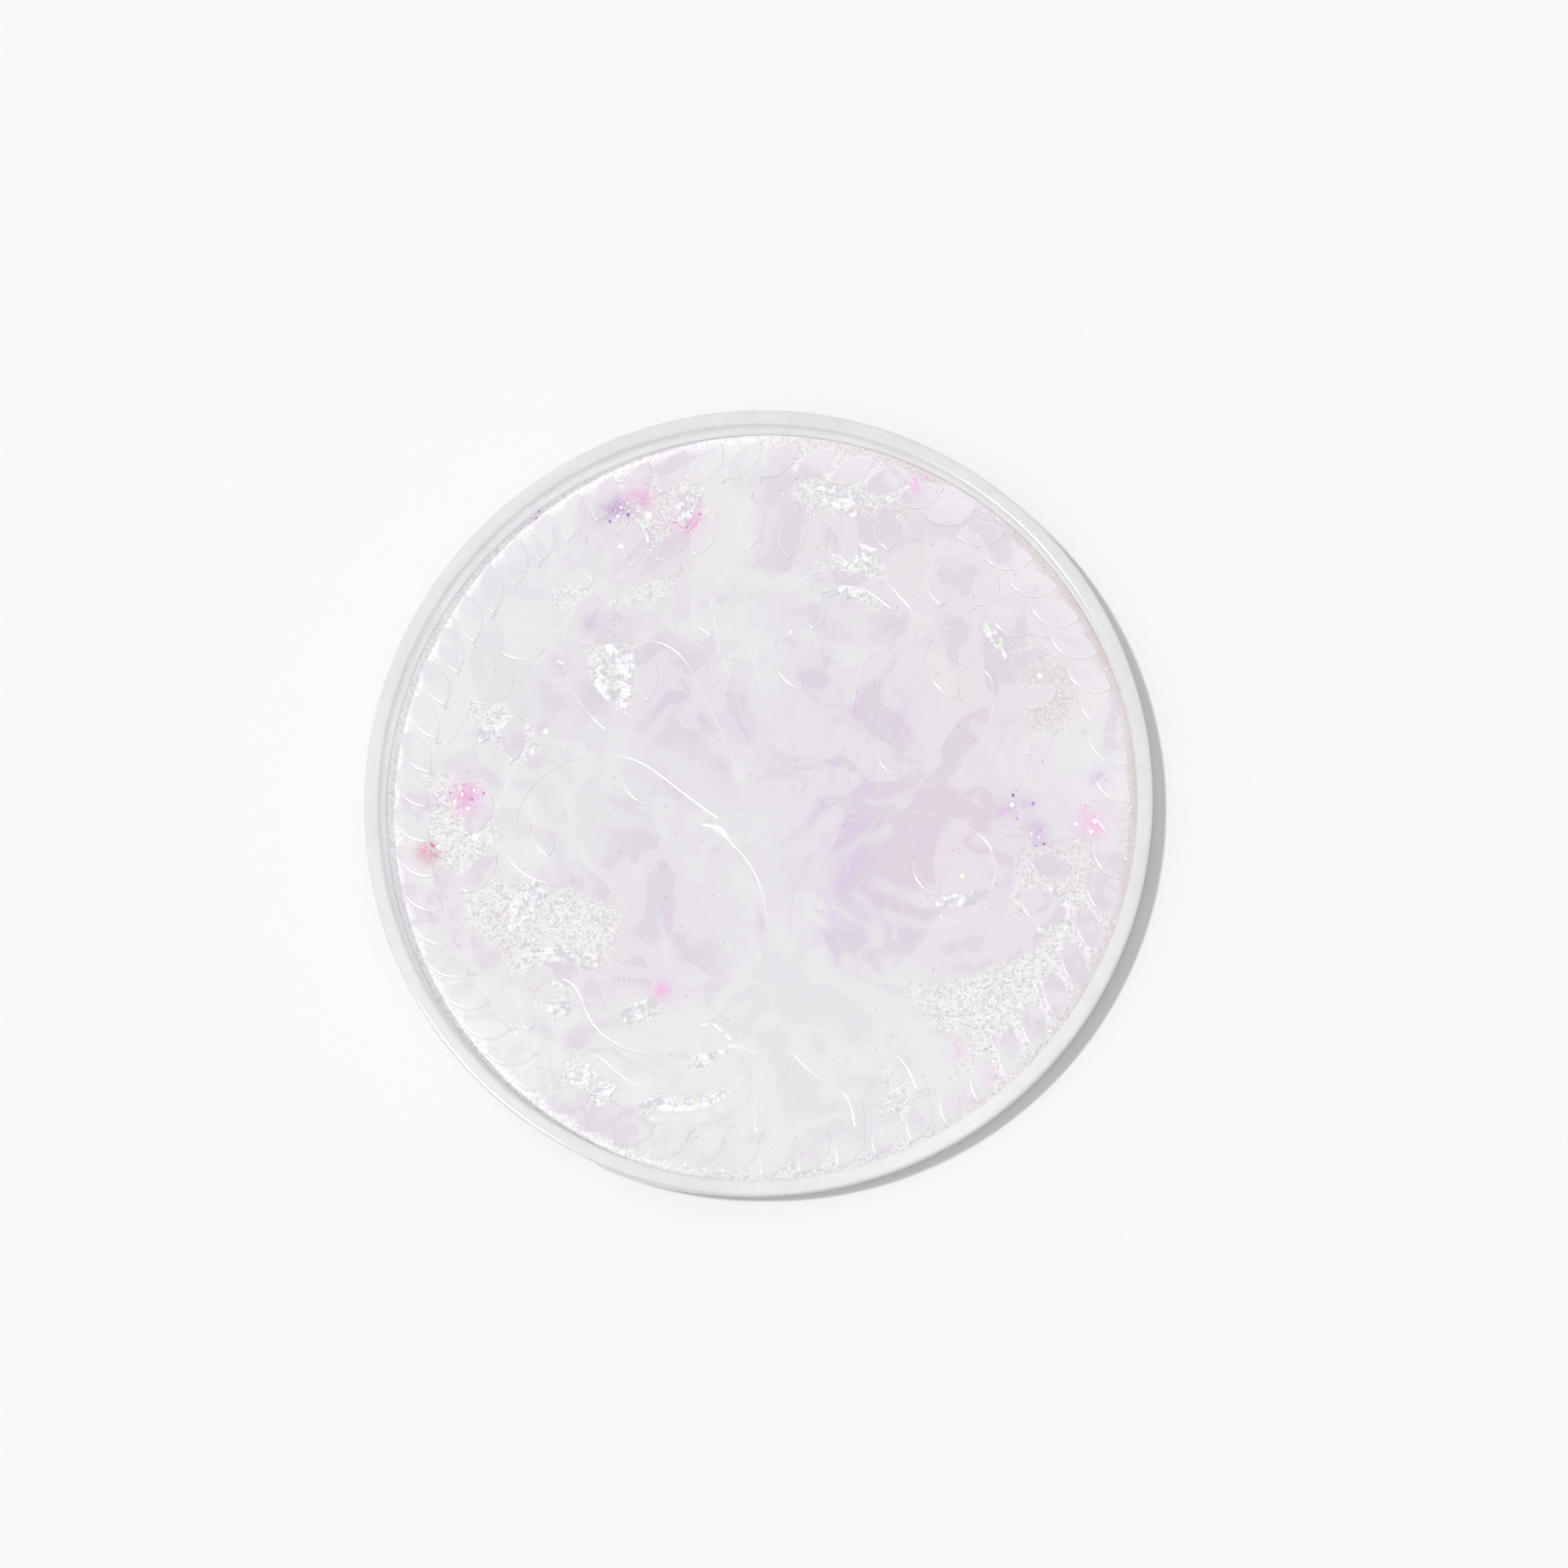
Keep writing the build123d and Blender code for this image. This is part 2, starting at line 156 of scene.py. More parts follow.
LILAC_SMEARS = [
    ([(-10, 12), (2, 12), (14, 6), (22, -6), (12, -18), (6, -10)], 6.0, 4.0),
    ([(24, 6), (30, -2), (28, -10)], 4.0, 3.0), ([(-24, 24), (-14, 16), (-16, 6)], 4.0, 3.0),
]
# windows where the pour stayed clear, as corners of rough polygons
CLEAR_WINDOWS = [
    [(-37, -8), (-30, -10), (-24, -10.5), (-19, -12.5), (-19.5, -18), (-24, -22), (-31, -21), (-37, -15)],
    [(18.5, -22.8), (27, -22.6), (38, -17.6), (43, -16.5), (43, -24), (37.5, -31), (30, -37), (26, -33.5),
     (26.4, -29.6), (22, -28)],
    [(15.2, -32.6), (18.4, -34.6), (19.4, -37.6), (17.6, -40.4), (15.6, -38.4), (16.2, -35.8)],
    [(-22, 21), (-15.8, 21), (-16.8, 14), (-18.4, 10.5), (-21, 13.6), (-22.2, 17.4)],
    [(-19, 37.2), (-17.6, 41.4), (-11, 43.4), (-6.8, 41), (-6.6, 37.4), (-9, 34.6), (-14, 33.4)],
    [(3.2, 46), (3.4, 39.4), (6, 37.2), (12, 38.4), (18, 36.6), (18.6, 41), (13, 44.6)],
    [(6.6, 29), (10, 27), (14.4, 26), (15.6, 29), (12.4, 33), (8.4, 33)],
    [(-8.4, -31), (-2.4, -31), (-3, -34.4), (-7.6, -34)],
    [(-16, -38.8), (-9.6, -36.4), (-2.6, -36.6), (-6, -39), (-12.6, -40.2)],
    [(-24.6, -33), (-20.6, -34.2), (-18, -37.4), (-22, -37.8), (-25, -35.6)],
    [(-27.4, -23), (-24, -23.2), (-23.4, -26), (-26, -28), (-28.4, -26)],
    [(-17.6, -26.6), (-13.8, -24.6), (-12.6, -25.6), (-15.4, -27.6)],
    [(-37.4, 12), (-33, 12.6), (-28, 8.6), (-27.6, 5.6), (-31, 5.4), (-34, 8.4)],
    [(30, -7), (35, -5), (43, -5), (43.4, -15), (37, -17.6), (31.4, -14)],
    [(31.6, 20), (36, 21), (40, 16), (39, 9.6), (34, 9.4), (32.6, 15)],
    [(-6.5, 26.4), (-7.2, 23.4), (-4.4, 19.8), (-5.4, 23.4)],
    [(-42, 4.4), (-36, 3.6), (-33.4, -2), (-35, -7.4), (-42, -8)],
    [(-26.6, 28.6), (-20.4, 27.4), (-12, 29), (-12.6, 26.6), (-20, 24.8), (-26, 25.8)],
]
CHANNEL_START = 46.2                # radius where the clear channel beside the rim starts
# soft patches of lilac and of rose: centre, radius, strength
LILAC_PATCHES = [
    (16, -2, 19, 0.46), (12.5, -13, 5.5, 0.8), (10, -6, 7, 0.2), (-13, -17, 9, 0.34), (-13, 14, 12, 0.3),
    (31, 1, 7, 0.4), (19, 24, 12, 0.36), (0, 10, 15, 0.14), (-8, 38, 10, 0.12), (-27, 27, 8, 0.18),
]
ROSE_PATCHES = [
    (27, -6, 12, 0.5), (33, 19, 10, 0.5), (19, 12, 10, 0.3), (-16, -20, 7, 0.42), (-14, 36, 7, 0.5),
    (21, 30, 8, 0.4), (-17, 21, 6, 0.3), (41, -6, 6, 0.5), (-33, -14, 7, 0.25), (9, 40, 8, 0.25),
]
# patches tinted tan
TAN_PATCHES = [(39, 21, 4.5, 0.9), (36, 13, 4, 0.5), (22, 34, 5, 0.5), (30, 29, 4, 0.5)]
# where the white pigment gathered, and where there is less of it: centre, radius, strength
MILK_PATCHES = [
    (-4, 42, 6, 0.5), (-5, 33, 5, 0.35), (-30, 30, 10, 0.45), (-38, 20, 9, 0.35), (-43, 10, 6, 0.3),
    (3, -36, 12, 0.55), (1, -23, 7, 0.35), (-14, -30, 7, 0.3), (38, 4, 6, 0.5), (28, 38, 9, -0.1),
    (22, -28, 6, 0.6), (-30, -33, 7, 0.25), (-22, 4, 6, 0.35), (-9, 24, 5, 0.4), (-1, 20, 4, 0.3),
    (3, -6, 7, 0.25), (-40, -26, 6, 0.3), (13, -29, 5, 0.4), (25, 20, 6, 0.2), (14, 19, 5, 0.2),
    (22, -8, 11, -0.3), (20, 10, 9, -0.25), (-14, -14, 8, -0.25), (-14, 14, 6, -0.3), (31, 16, 8, -0.3),
    (9, 38, 7, -0.3), (-14, 37, 6, -0.3), (30, 0, 5, -0.25),
]
# streaks drawn out by stirring: points of the line, width, strength
MILK_STREAKS = [
    ([(7.8, -8), (6.6, -14), (7.6, -20.5), (10, -26)], 1.1, 0.4),
    ([(16, -3.4), (11, -6), (8, -11)], 1.0, 0.35), ([(-16, -8), (-13, -14), (-11.8, -20)], 0.9, 0.35),
    ([(-3.6, 21.6), (-1.6, 17), (1.2, 15.6)], 0.9, 0.5),
    ([(-9, 27), (-3, 29), (4, 28.4), (9, 25.6)], 1.2, 0.4),
    ([(-26, 24), (-19, 27), (-12, 26.4)], 1.0, 0.35), ([(6.4, 22), (10, 19.4), (14.6, 18.6)], 1.0, 0.4),
    ([(20, 24), (23.6, 17), (22, 9.6), (18, 6)], 1.1, 0.35),
    ([(-24, 10), (-17, 8.4), (-10, 4.4), (-6, -1)], 1.2, 0.3), ([(27, 10), (31, 5), (33, -1)], 1.1, 0.35),
    ([(15, -10), (21, -12), (27, -9.6)], 0.9, 0.4), ([(16, -14), (22, -15.4), (28, -13)], 0.8, 0.35),
    ([(-30, -25), (-24, -27), (-17, -24)], 1.0, 0.3), ([(10, -30), (15, -27), (17, -22)], 1.0, 0.35),
    ([(0, 8), (-3, 2), (-2, -6)], 1.3, 0.25), ([(-20, -1), (-13, -3), (-8, -9)], 0.9, 0.3),
]
LILAC_STREAKS = [
    ([(15.6, -2.2), (11.8, -5.4), (9.6, -10), (8.9, -15), (10, -20)], 0.9, 0.5),
    ([(-6.8, 27), (-7.4, 23), (-4.6, 19)], 0.8, 0.3), ([(-22, 26.6), (-16, 24.4), (-10, 25)], 0.9, 0.35),
    ([(10, 16), (12.6, 10), (9, 4)], 0.9, 0.35), ([(18, 14), (20.6, 8), (26, 5)], 0.9, 0.35),
    ([(-14, 8), (-10, 0), (-12, -8)], 1.0, 0.3), ([(-20, -14), (-15, -19), (-12, -24)], 1.0, 0.35),
    ([(24, -4), (29, -8), (27, -13)], 0.9, 0.35), ([(1, -12), (-1, -18), (-6, -23), (-13, -25)], 1.0, 0.25),
    ([(3, 12), (-2, 9), (-5, 12)], 0.9, 0.25), ([(-27, 20), (-22, 15), (-24, 9)], 0.9, 0.3),
]
# knots where dyed glitter bled into the resin: centre, radius
VIOLET_KNOTS = [
    (-29.8, 38.2, 1.5), (-17.8, 38.6, 2.0), (-19.4, 38.0, 1.5), (32.6, -0.6, 1.8), (34.9, -3.6, 1.5),
    (-22, 23.4, 1.1), (43, 3, 1.2),
]
MAGENTA_KNOTS = [
    (-9.4, 37.0, 1.9), (-15.4, 39.2, 1.8), (-37.6, 1.4, 2.0), (20.4, 41.0, 1.2), (41.8, -2.4, 1.9),
    (-12.6, -23.4, 1.2), (29.4, -34.6, 1.0), (24.4, -31.2, 1.0),
]
RED_KNOTS = [(-42.3, -5.6, 1.3)]


# ---- mesh building --------------------------------------------------------------------------------
def rings_to_mesh(rings, joined=False):
    """Vertices and faces of a surface through closed rings, an array (rings, points, 3).

    Each ring closes on itself. With joined, the last ring closes on the first; without, each end closes on
    a pole at the middle of its ring.
    """
    count, points = rings.shape[:2]
    index = np.arange(count * points).reshape(count, points)
    beside = np.roll(index, -1, axis=1)
    if joined:
        quads = np.stack([index, beside, np.roll(beside, -1, 0), np.roll(index, -1, 0)], -1).reshape(-1, 4)
        return rings.reshape(-1, 3), quads, np.zeros((0, 3), int)
    quads = np.stack([index[:-1], beside[:-1], beside[1:], index[1:]], -1).reshape(-1, 4)
    first, last = count * points, count * points + 1
    fans = np.concatenate([
        np.stack([np.full(points, first), beside[0], index[0]], -1),
        np.stack([np.full(points, last), index[-1], beside[-1]], -1),
    ])
    poles = np.stack([rings[0].mean(0), rings[-1].mean(0)])
    return np.concatenate([rings.reshape(-1, 3), poles]), quads, fans


def gathered(shapes):
    """Several shapes as one: their vertices, quads and triangles end to end."""
    offsets = np.cumsum([0] + [len(shape[0]) for shape in shapes[:-1]])
    return (
        np.concatenate([shape[0] for shape in shapes]),
        np.concatenate([shape[1] + offset for shape, offset in zip(shapes, offsets)]),
        np.concatenate([shape[2] + offset for shape, offset in zip(shapes, offsets)]),
    )


def outward(shape):
    """The same shape with its faces turned outwards, told by the sign of its volume."""
    points, quads, fans = shape
    triangles = np.concatenate([quads[:, [0, 1, 2]], quads[:, [0, 2, 3]], fans])
    a, b, c = (points[triangles[:, corner]] for corner in range(3))
    if np.einsum("ij,ij->i", a, np.cross(b, c)).sum() < 0:
        return points, quads[:, ::-1], fans[:, ::-1]
    return shape


def piece(name, shape, material, replaced=(), smooth=True):
    """Puts a shape, in millimetres, into a mesh object that rides on the casting.

    Each vertex also carries the pour's fields, which the materials read.
    """
    points, quads, fans = shape
    mesh = bpy.data.meshes.new(name)
    corners = np.concatenate([quads.ravel(), fans.ravel()]).astype(np.int32)
    sizes = np.concatenate([np.full(len(quads), 4), np.full(len(fans), 3)]).astype(np.int32)
    mesh.vertices.add(len(points))
    mesh.vertices.foreach_set("co", (points * MM).astype(np.float32).ravel())
    mesh.loops.add(len(corners))
    mesh.loops.foreach_set("vertex_index", corners)
    mesh.polygons.add(len(sizes))
    mesh.polygons.foreach_set("loop_start", np.concatenate([[0], np.cumsum(sizes)[:-1]]).astype(np.int32))
    mesh.polygons.foreach_set("use_smooth", np.full(len(sizes), smooth))
    mesh.update(calc_edges=True)
    mesh.validate()
    fields = pour_fields(points[:, 0], points[:, 1])
    fields["upper"] = (points[:, 2] > FLOOR - SKIN).astype(float)
    # sunken, glow, inner_face and shaded place the painted light (emission) of the rim and of the channel
    fields["sunken"] = sunken(points)
    fields["glow"] *= fields["sunken"] == 0
    fields["sunken"] *= fields["inner_face"]
    fields["window"] = np.where(fields["upper"] > 0, fields["window"], -9.0)
    fields["shaded"] *= fields["upper"]
    for label, values in fields.items():
        mesh.attributes.new(label, "FLOAT", "POINT").data.foreach_set("value", values.astype(np.float32))
    mesh.materials.append(material)
    made = bpy.data.objects.new(name, mesh)
    bpy.context.scene.collection.objects.link(made)
    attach(made, "root")
    if replaced:
        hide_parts(*replaced)
    return made


def sunken(points):
    """How deep a point of the inner wall lies below the rim: 0 at the rim's top, 1 at the floor; the inner
    wall's painted light grows with it.
    """
    depth = np.clip((RIM_TOP - RIM_EDGE - points[:, 2]) / (RIM_TOP - RIM_EDGE - FLOOR), 0, 1)
    return np.sqrt(depth) * (np.hypot(points[:, 0], points[:, 1]) < OUTER - RIM_WIDTH + 0.05)


# ---- how the pours lie ------------------------------------------------------------------------------
def inside_distance(corners, x, y):
    """Distance to a polygon's outline, positive inside it.

    The nearest point of each edge gives the distance; the number of edges crossed by a line to the right
    gives the side.
    """
    distance = np.full(x.shape, np.inf)
    crossings = np.zeros(x.shape, int)
    for (ax, ay), (bx, by) in zip(corners, corners[1:] + corners[:1]):
        ex, ey = bx - ax, by - ay
        share = np.clip(((x - ax) * ex + (y - ay) * ey) / (ex * ex + ey * ey), 0, 1)
        distance = np.minimum(distance, np.hypot(x - ax - share * ex, y - ay - share * ey))
        if ey:
            crossings += ((ay > y) != (by > y)) & (x < ax + (y - ay) * ex / ey)
    return np.where(crossings % 2 == 1, distance, -distance)


def patches(drawn, x, y):
    """Soft round patches added up: each falls off as exp(-(distance / radius)**2)."""
    total = np.zeros(x.shape)
    for px, py, radius, strength in drawn:
        total += strength * np.exp(-((x - px) ** 2 + (y - py) ** 2) / radius**2)
    return total


def streaks(drawn, x, y):
    """Streaks along lines, added up: each falls off as exp(-(distance / width)**2) from its line."""
    total = np.zeros(x.shape)
    for points, width, strength in drawn:
        line = smooth_line(points, 40)
        nearest = np.full(x.shape, np.inf)
        for px, py in line:
            nearest = np.minimum(nearest, (x - px) ** 2 + (y - py) ** 2)
        total += strength * np.exp(-nearest / width**2)
    return total


def knot_field(drawn, x, y):
    return patches([(px, py, radius, 1.0) for px, py, radius in drawn], x, y)


def pour_fields(x, y):
    """What the pour is at each place, by name.

    window is the distance inside a clear window; milk, lilac, rose and the dyes are shares of pigment;
    far_side is how far it is tinted tan; shaded, glow and inner_face say where painted light, as emission,
    shows.
    """
    x, y = x / PLAN, y / PLAN
    window = np.full(x.shape, -9.0)
    for corners in CLEAR_WINDOWS:
        window = np.maximum(window, inside_distance(corners, x, y))
    away = np.hypot(x, y)
    channel = np.minimum(away - CHANNEL_START, 1.0)
    edge_band = np.clip((away - CHANNEL_START + 0.4) / 1.2, 0, 1)
    to_tan, to_glow, to_light = (
        (x * cos(azimuth) + y * sin(azimuth)) / np.maximum(away, 1e-6)
        for azimuth in (TAN_AZIMUTH, GLOW_AZIMUTH, LIGHT_AZIMUTH)
    )
    return {
        "window": np.maximum(window, channel),
        # inner_face, shaded and glow place painted light: emission on the rim's inner wall, in the rim's
        # shadow on the channel and on the rim's lower right side
        "inner_face": 0.55 - 0.45 * to_glow,
        "shaded": edge_band * np.sqrt(np.maximum(to_light, 0)),
        "far_side": edge_band * (0.5 + 0.5 * to_tan) ** 3 + patches(TAN_PATCHES, x, y),
        "glow": np.maximum(to_glow, 0) ** 6,
        "milk": patches(MILK_PATCHES, x, y) + streaks(MILK_STREAKS, x, y),
        "lilac": patches(LILAC_PATCHES, x, y) + streaks(LILAC_STREAKS, x, y),
        "rose": patches(ROSE_PATCHES, x, y),
        "violet_dye": knot_field(VIOLET_KNOTS, x, y),
        "magenta_dye": knot_field(MAGENTA_KNOTS, x, y),
        "red_dye": knot_field(RED_KNOTS, x, y),
    }


# ---- shapes -------------------------------------------------------------------------------------------
def arc_points(centre_r, centre_z, radius, start, end, steps):
    """Points (r, z) on an arc of a lathe profile, angles in degrees from the outward direction."""
    turn = np.radians(np.linspace(start, end, steps))
    return np.stack([centre_r + radius * np.cos(turn), centre_z + radius * np.sin(turn)], -1)


def straight(start, end, steps):
    """Points evenly spaced from start to end, both left out."""
    share = np.linspace(0, 1, steps + 2)[1:-1, None]
    return (1 - share) * np.array(start) + share * np.array(end)


def turned(profile, segments, ripple=0.0, seed=0):
    """A profile of (r, z) points turned round the Z axis, an array (points, segments, 3).

    ripple is a slow wave of the radius round the circle, in millimetres, the sum of three low harmonics. A
    lip of resin that crept past the mould's edge swells the lower wall by LIP * exp(-(angle / spread)**2).
    """
    turn = np.linspace(0, 2 * pi, segments, endpoint=False)
    phases = np.random.default_rng(seed).uniform(0, 2 * pi, 3)
    lip = LIP * np.exp(-((np.degrees(turn) - LIP_TURN) / np.where(np.degrees(turn) > LIP_TURN, 16, 3)) ** 2)
    wave = lip + ripple * sum(np.sin(n * turn + phase) / n for n, phase in zip((2, 3, 5), phases))
    rung = profile[:, 0, None]
    low_outside = (rung > OUTER - RIM_WIDTH / 2) & (profile[:, 1, None] < RIM_TOP - 1.5)
    r = rung + (wave - lip) * (rung > OUTER / 2) + lip * low_outside
    z = np.broadcast_to(profile[:, 1, None], r.shape)
    return np.stack([r * np.cos(turn), r * np.sin(turn), z], -1)


def outer_wall(z):
    return OUTER - (RIM_TOP - z) * WALL_LEAN


def inner_wall(z):
    return OUTER - RIM_WIDTH - (RIM_TOP - z) * WALL_LEAN


def disc_shape():
    """The clear disc, rung by rung: flat underside, rounded foot, leaning side and the recess floor."""
    foot = outer_wall(0)
    under = np.stack([np.linspace(0.4, foot - FOOT_EDGE - 0.2, 12), np.zeros(12)], -1)
    edge = arc_points(foot - FOOT_EDGE, FOOT_EDGE, FOOT_EDGE, -90, 0, 7)
    side = straight((outer_wall(FOOT_EDGE), FOOT_EDGE), (outer_wall(FLOOR), FLOOR), 3)
    side = np.concatenate([side, [(outer_wall(FLOOR), FLOOR - CORNER)]])
    floor_rungs = np.concatenate([[outer_wall(FLOOR)], np.arange(outer_wall(FLOOR) - CORNER, 0.3, -0.42)])
    top = np.stack([floor_rungs, np.full(floor_rungs.shape, FLOOR)], -1)
    rings = turned(np.concatenate([under, edge, side, top]), 560, ripple=RIPPLE, seed=WALL_SEED)
    x, y = rings[..., 0], rings[..., 1]
    on_top = (rings[..., 2] > FLOOR - 1e-6) & (np.hypot(x, y) < inner_wall(FLOOR) - 0.3)
    dimple = 0.02 * (np.sin(0.31 * x + 0.9) * np.sin(0.27 * y) + 0.6 * np.sin(0.7 * x - 0.53 * y))
    rings[..., 2] += np.where(on_top, dimple - 0.02, 0)
    return outward(rings_to_mesh(rings))


def haze_shape():
    """A flat round layer inside the disc, under the windows."""
    wide = inner_wall(FLOOR) + 0.6
    under = np.stack([np.linspace(1.0, wide, 8), np.full(8, FLOOR - 1.1)], -1)
    over = np.stack([np.linspace(wide, 1.0, 8), np.full(8, FLOOR - 0.75)], -1)
    return outward(rings_to_mesh(turned(np.concatenate([under, over]), 200)))


def rim_shape():
    """The rim: up the outer wall, over two rounded edges and a top that sags between them, down inside."""
    top_out, top_in = OUTER, OUTER - RIM_WIDTH
    outside = straight((outer_wall(FLOOR), FLOOR), (outer_wall(RIM_TOP - RIM_EDGE), RIM_TOP - RIM_EDGE), 14)
    outside = np.concatenate([[(outer_wall(FLOOR), FLOOR), (outer_wall(FLOOR), FLOOR + CORNER)], outside])
    edge_out = arc_points(top_out - RIM_EDGE, RIM_TOP - RIM_EDGE, RIM_EDGE, 0, 90, 9)
    across = straight((top_out - RIM_EDGE, RIM_TOP), (top_in + RIM_EDGE, RIM_TOP), 5)
    across[:, 1] -= 0.008 * np.sin(np.linspace(0, pi, 7)[1:-1])
    edge_in = arc_points(top_in + RIM_EDGE, RIM_TOP - RIM_EDGE, RIM_EDGE, 90, 180, 9)
    inside = straight((inner_wall(RIM_TOP - RIM_EDGE), RIM_TOP - RIM_EDGE), (inner_wall(FLOOR), FLOOR), 16)
    base = np.array([(inner_wall(FLOOR), FLOOR - 0.1), (outer_wall(FLOOR) - 0.2, FLOOR - 0.1)])
    profile = np.concatenate([outside, edge_out, across, edge_in, inside, base])
    return outward(rings_to_mesh(turned(profile, 600, ripple=RIPPLE, seed=WALL_SEED), joined=True))


def smooth_line(points, steps):
    """A curve through the points, evenly stepped: the natural cubic spline over chord length."""
    points = np.array(points, float)
    chord = np.concatenate([[0], np.cumsum(np.linalg.norm(np.diff(points, axis=0), axis=1))])
    gap = np.diff(chord)
    count = len(points)
    matrix = np.eye(count)
    right = np.zeros((count, 2))
    for row in range(1, count - 1):
        matrix[row, row - 1:row + 2] = gap[row - 1], 2 * (gap[row - 1] + gap[row]), gap[row]
        rise = np.diff(points[row - 1:row + 2], axis=0) / gap[row - 1:row + 1, None]
        right[row] = 6 * (rise[1] - rise[0])
    bend = np.linalg.solve(matrix, right)
    at = np.linspace(0, chord[-1], steps)
    cell = np.clip(np.searchsorted(chord, at) - 1, 0, count - 2)
    a, b, h = (chord[cell + 1] - at)[:, None], (at - chord[cell])[:, None], gap[cell][:, None]
    return (
        (bend[cell] * a**3 + bend[cell + 1] * b**3) / (6 * h)
        + (points[cell] / h - bend[cell] * h / 6) * a
        + (points[cell + 1] / h - bend[cell + 1] * h / 6) * b
    )


def raised_band(line, half_widths, height, edge=0.34, base=FLOOR - 0.12):
    """A band of low relief along a line.

    Across the band the height rises from its edge on a parabola that is `edge` long, and stays nearly level
    between: z = height * (1 - (1 - min(d / edge, 1))**2) * (0.97 + 0.03 (1 - v**2)), where d is the
    distance from the nearer edge and v runs from -1 to 1 across. It is lower where the band is narrower
    than its edge. Most points stand on the slopes, so that these catch the light as thin lines. A strip
    below closes it.
    """
    half = half_widths[:, None]
    edge = np.broadcast_to(np.reshape(edge, (-1, 1)), half.shape)
    slope = np.minimum(edge, half * 0.8)
    rungs = np.array([0, 0.16, 0.34, 0.52, 0.7, 0.85, 1.0, 1.12])
    inward = (half - 1.12 * slope) * np.array([0.3, 0.65])
    from_edge = np.concatenate([slope * rungs, 1.12 * slope + inward], axis=1)
    away = half - from_edge
    across = np.concatenate([-away, np.zeros(half.shape), away[:, ::-1]], axis=1)
    along = np.gradient(line, axis=0)
    along /= np.linalg.norm(along, axis=1)[:, None]
    side = np.stack([-along[:, 1], along[:, 0]], -1)
    place = line[:, None, :] + side[:, None, :] * across[..., None]
    depth = np.minimum((half - np.abs(across)) / slope, 1)
    low = np.minimum(half / edge, 1)
    rise = height * (1 - (1 - depth) ** 2) * low**0.35 * (0.97 + 0.03 * (1 - (across / half) ** 2))
    top = np.concatenate([place, (FLOOR + rise)[..., None]], -1)
    top[:, [0, -1], 2] = base
    return outward(rings_to_mesh(top[:, ::-1]))


def tapered(length, start_width, end_width):
    """Half widths along a strand: they fall evenly, and both ends close in on a round tip."""
    share = length / length[-1]
    half = (start_width + (end_width - start_width) * share) / 2
    from_end = np.minimum(length / (start_width / 2), (length[-1] - length) / (end_width / 2))
    return half * np.sqrt(np.clip(1 - np.clip(1 - from_end, 0, 1) ** 2, 0.002, 1))


def strand(points, start_width, end_width, height=RELIEF):
    """A strand of the tree, carried along its line a half width past the last point."""
    points = [tuple(PLAN * value for value in point) for point in points]
    line = smooth_line(points, 30 * len(points))
    tip = line[-1] + (line[-1] - line[-2]) / np.linalg.norm(line[-1] - line[-2]) * end_width / 2
    line = np.concatenate([line, line[-1] + (tip - line[-1]) * np.linspace(0, 1, 12)[1:, None]])
    length = np.concatenate([[0], np.cumsum(np.linalg.norm(np.diff(line, axis=0), axis=1))])
    return raised_band(line, tapered(length, start_width, end_width), height)


def strands(drawn, step):
    """Strands of one part of the tree: all lower than the trunk, each lower than the one before."""
    heights = [RELIEF * (0.93 - step * order) for order in range(len(drawn))]
    return gathered([strand(*one, height=height) for one, height in zip(drawn, heights)])


def trunk_shape():
    """The trunk: a band straight up whose half width is the waist plus what the round hollow leaves.

    half(y) = waist / 2 + lobe - sqrt(lobe**2 - (y - middle)**2). Past each end a half ellipse closes it,
    with an edge that slopes away over a few millimetres, so that strands grow out of it with no step.
    """
    body = np.linspace(-1, 1, 100) * TRUNK_HALF_HEIGHT
    past = np.linspace(0, 1, 30)[1:]
    foot, head = TRUNK_HALF_HEIGHT + TRUNK_FOOT * past[::-1], TRUNK_HALF_HEIGHT + TRUNK_HEAD * past
    y = np.concatenate([-foot, body, head])
    waist = TRUNK_WAIST / 2 + TRUNK_LOBE
    widest = waist - np.sqrt(TRUNK_LOBE**2 - TRUNK_HALF_HEIGHT**2)
    closing = widest * np.sqrt(np.clip(1 - past**2, 0.0004, 1))
    half = np.concatenate([closing[::-1], waist - np.sqrt(TRUNK_LOBE**2 - body**2), closing])
    slope = 0.4 + 3.4 * np.clip((np.abs(y) - TRUNK_HALF_HEIGHT + 2.5) / 4, 0, 1)
    line = np.stack([np.full(y.shape, TRUNK_AXIS * PLAN), (TRUNK_MIDDLE + y) * PLAN], -1)
    return raised_band(line, half, RELIEF, edge=slope)


def leaf_shape(stem, tip, width, height, steps=22):
    """A pointed leaf: half(s) = width / 2 * (1 - |2 s - 1|**2.4), with s from 0 at the stem to 1."""
    share = 0.5 - 0.5 * np.cos(np.linspace(0, pi, steps))
    line = np.array(stem) + (np.array(tip) - np.array(stem)) * share[:, None]
    half = np.maximum(width / 2 * (1 - np.abs(2 * share - 1) ** 2.4), 0.02)
    return raised_band(line, half, height)


def crown_shape(drawn):
    leaves = []
    for stem, tip, width in drawn:
        stem, tip = np.array(stem) * PLAN, np.array(tip) * PLAN
        reach = max(np.hypot(*stem), np.hypot(*tip))
        if reach > TREE_RADIUS:
            stem, tip = stem * (TREE_RADIUS - 0.1) / reach, tip * (TREE_RADIUS - 0.1) / reach
        leaves.append(leaf_shape(stem, tip, width, RELIEF))
    return gathered(leaves)


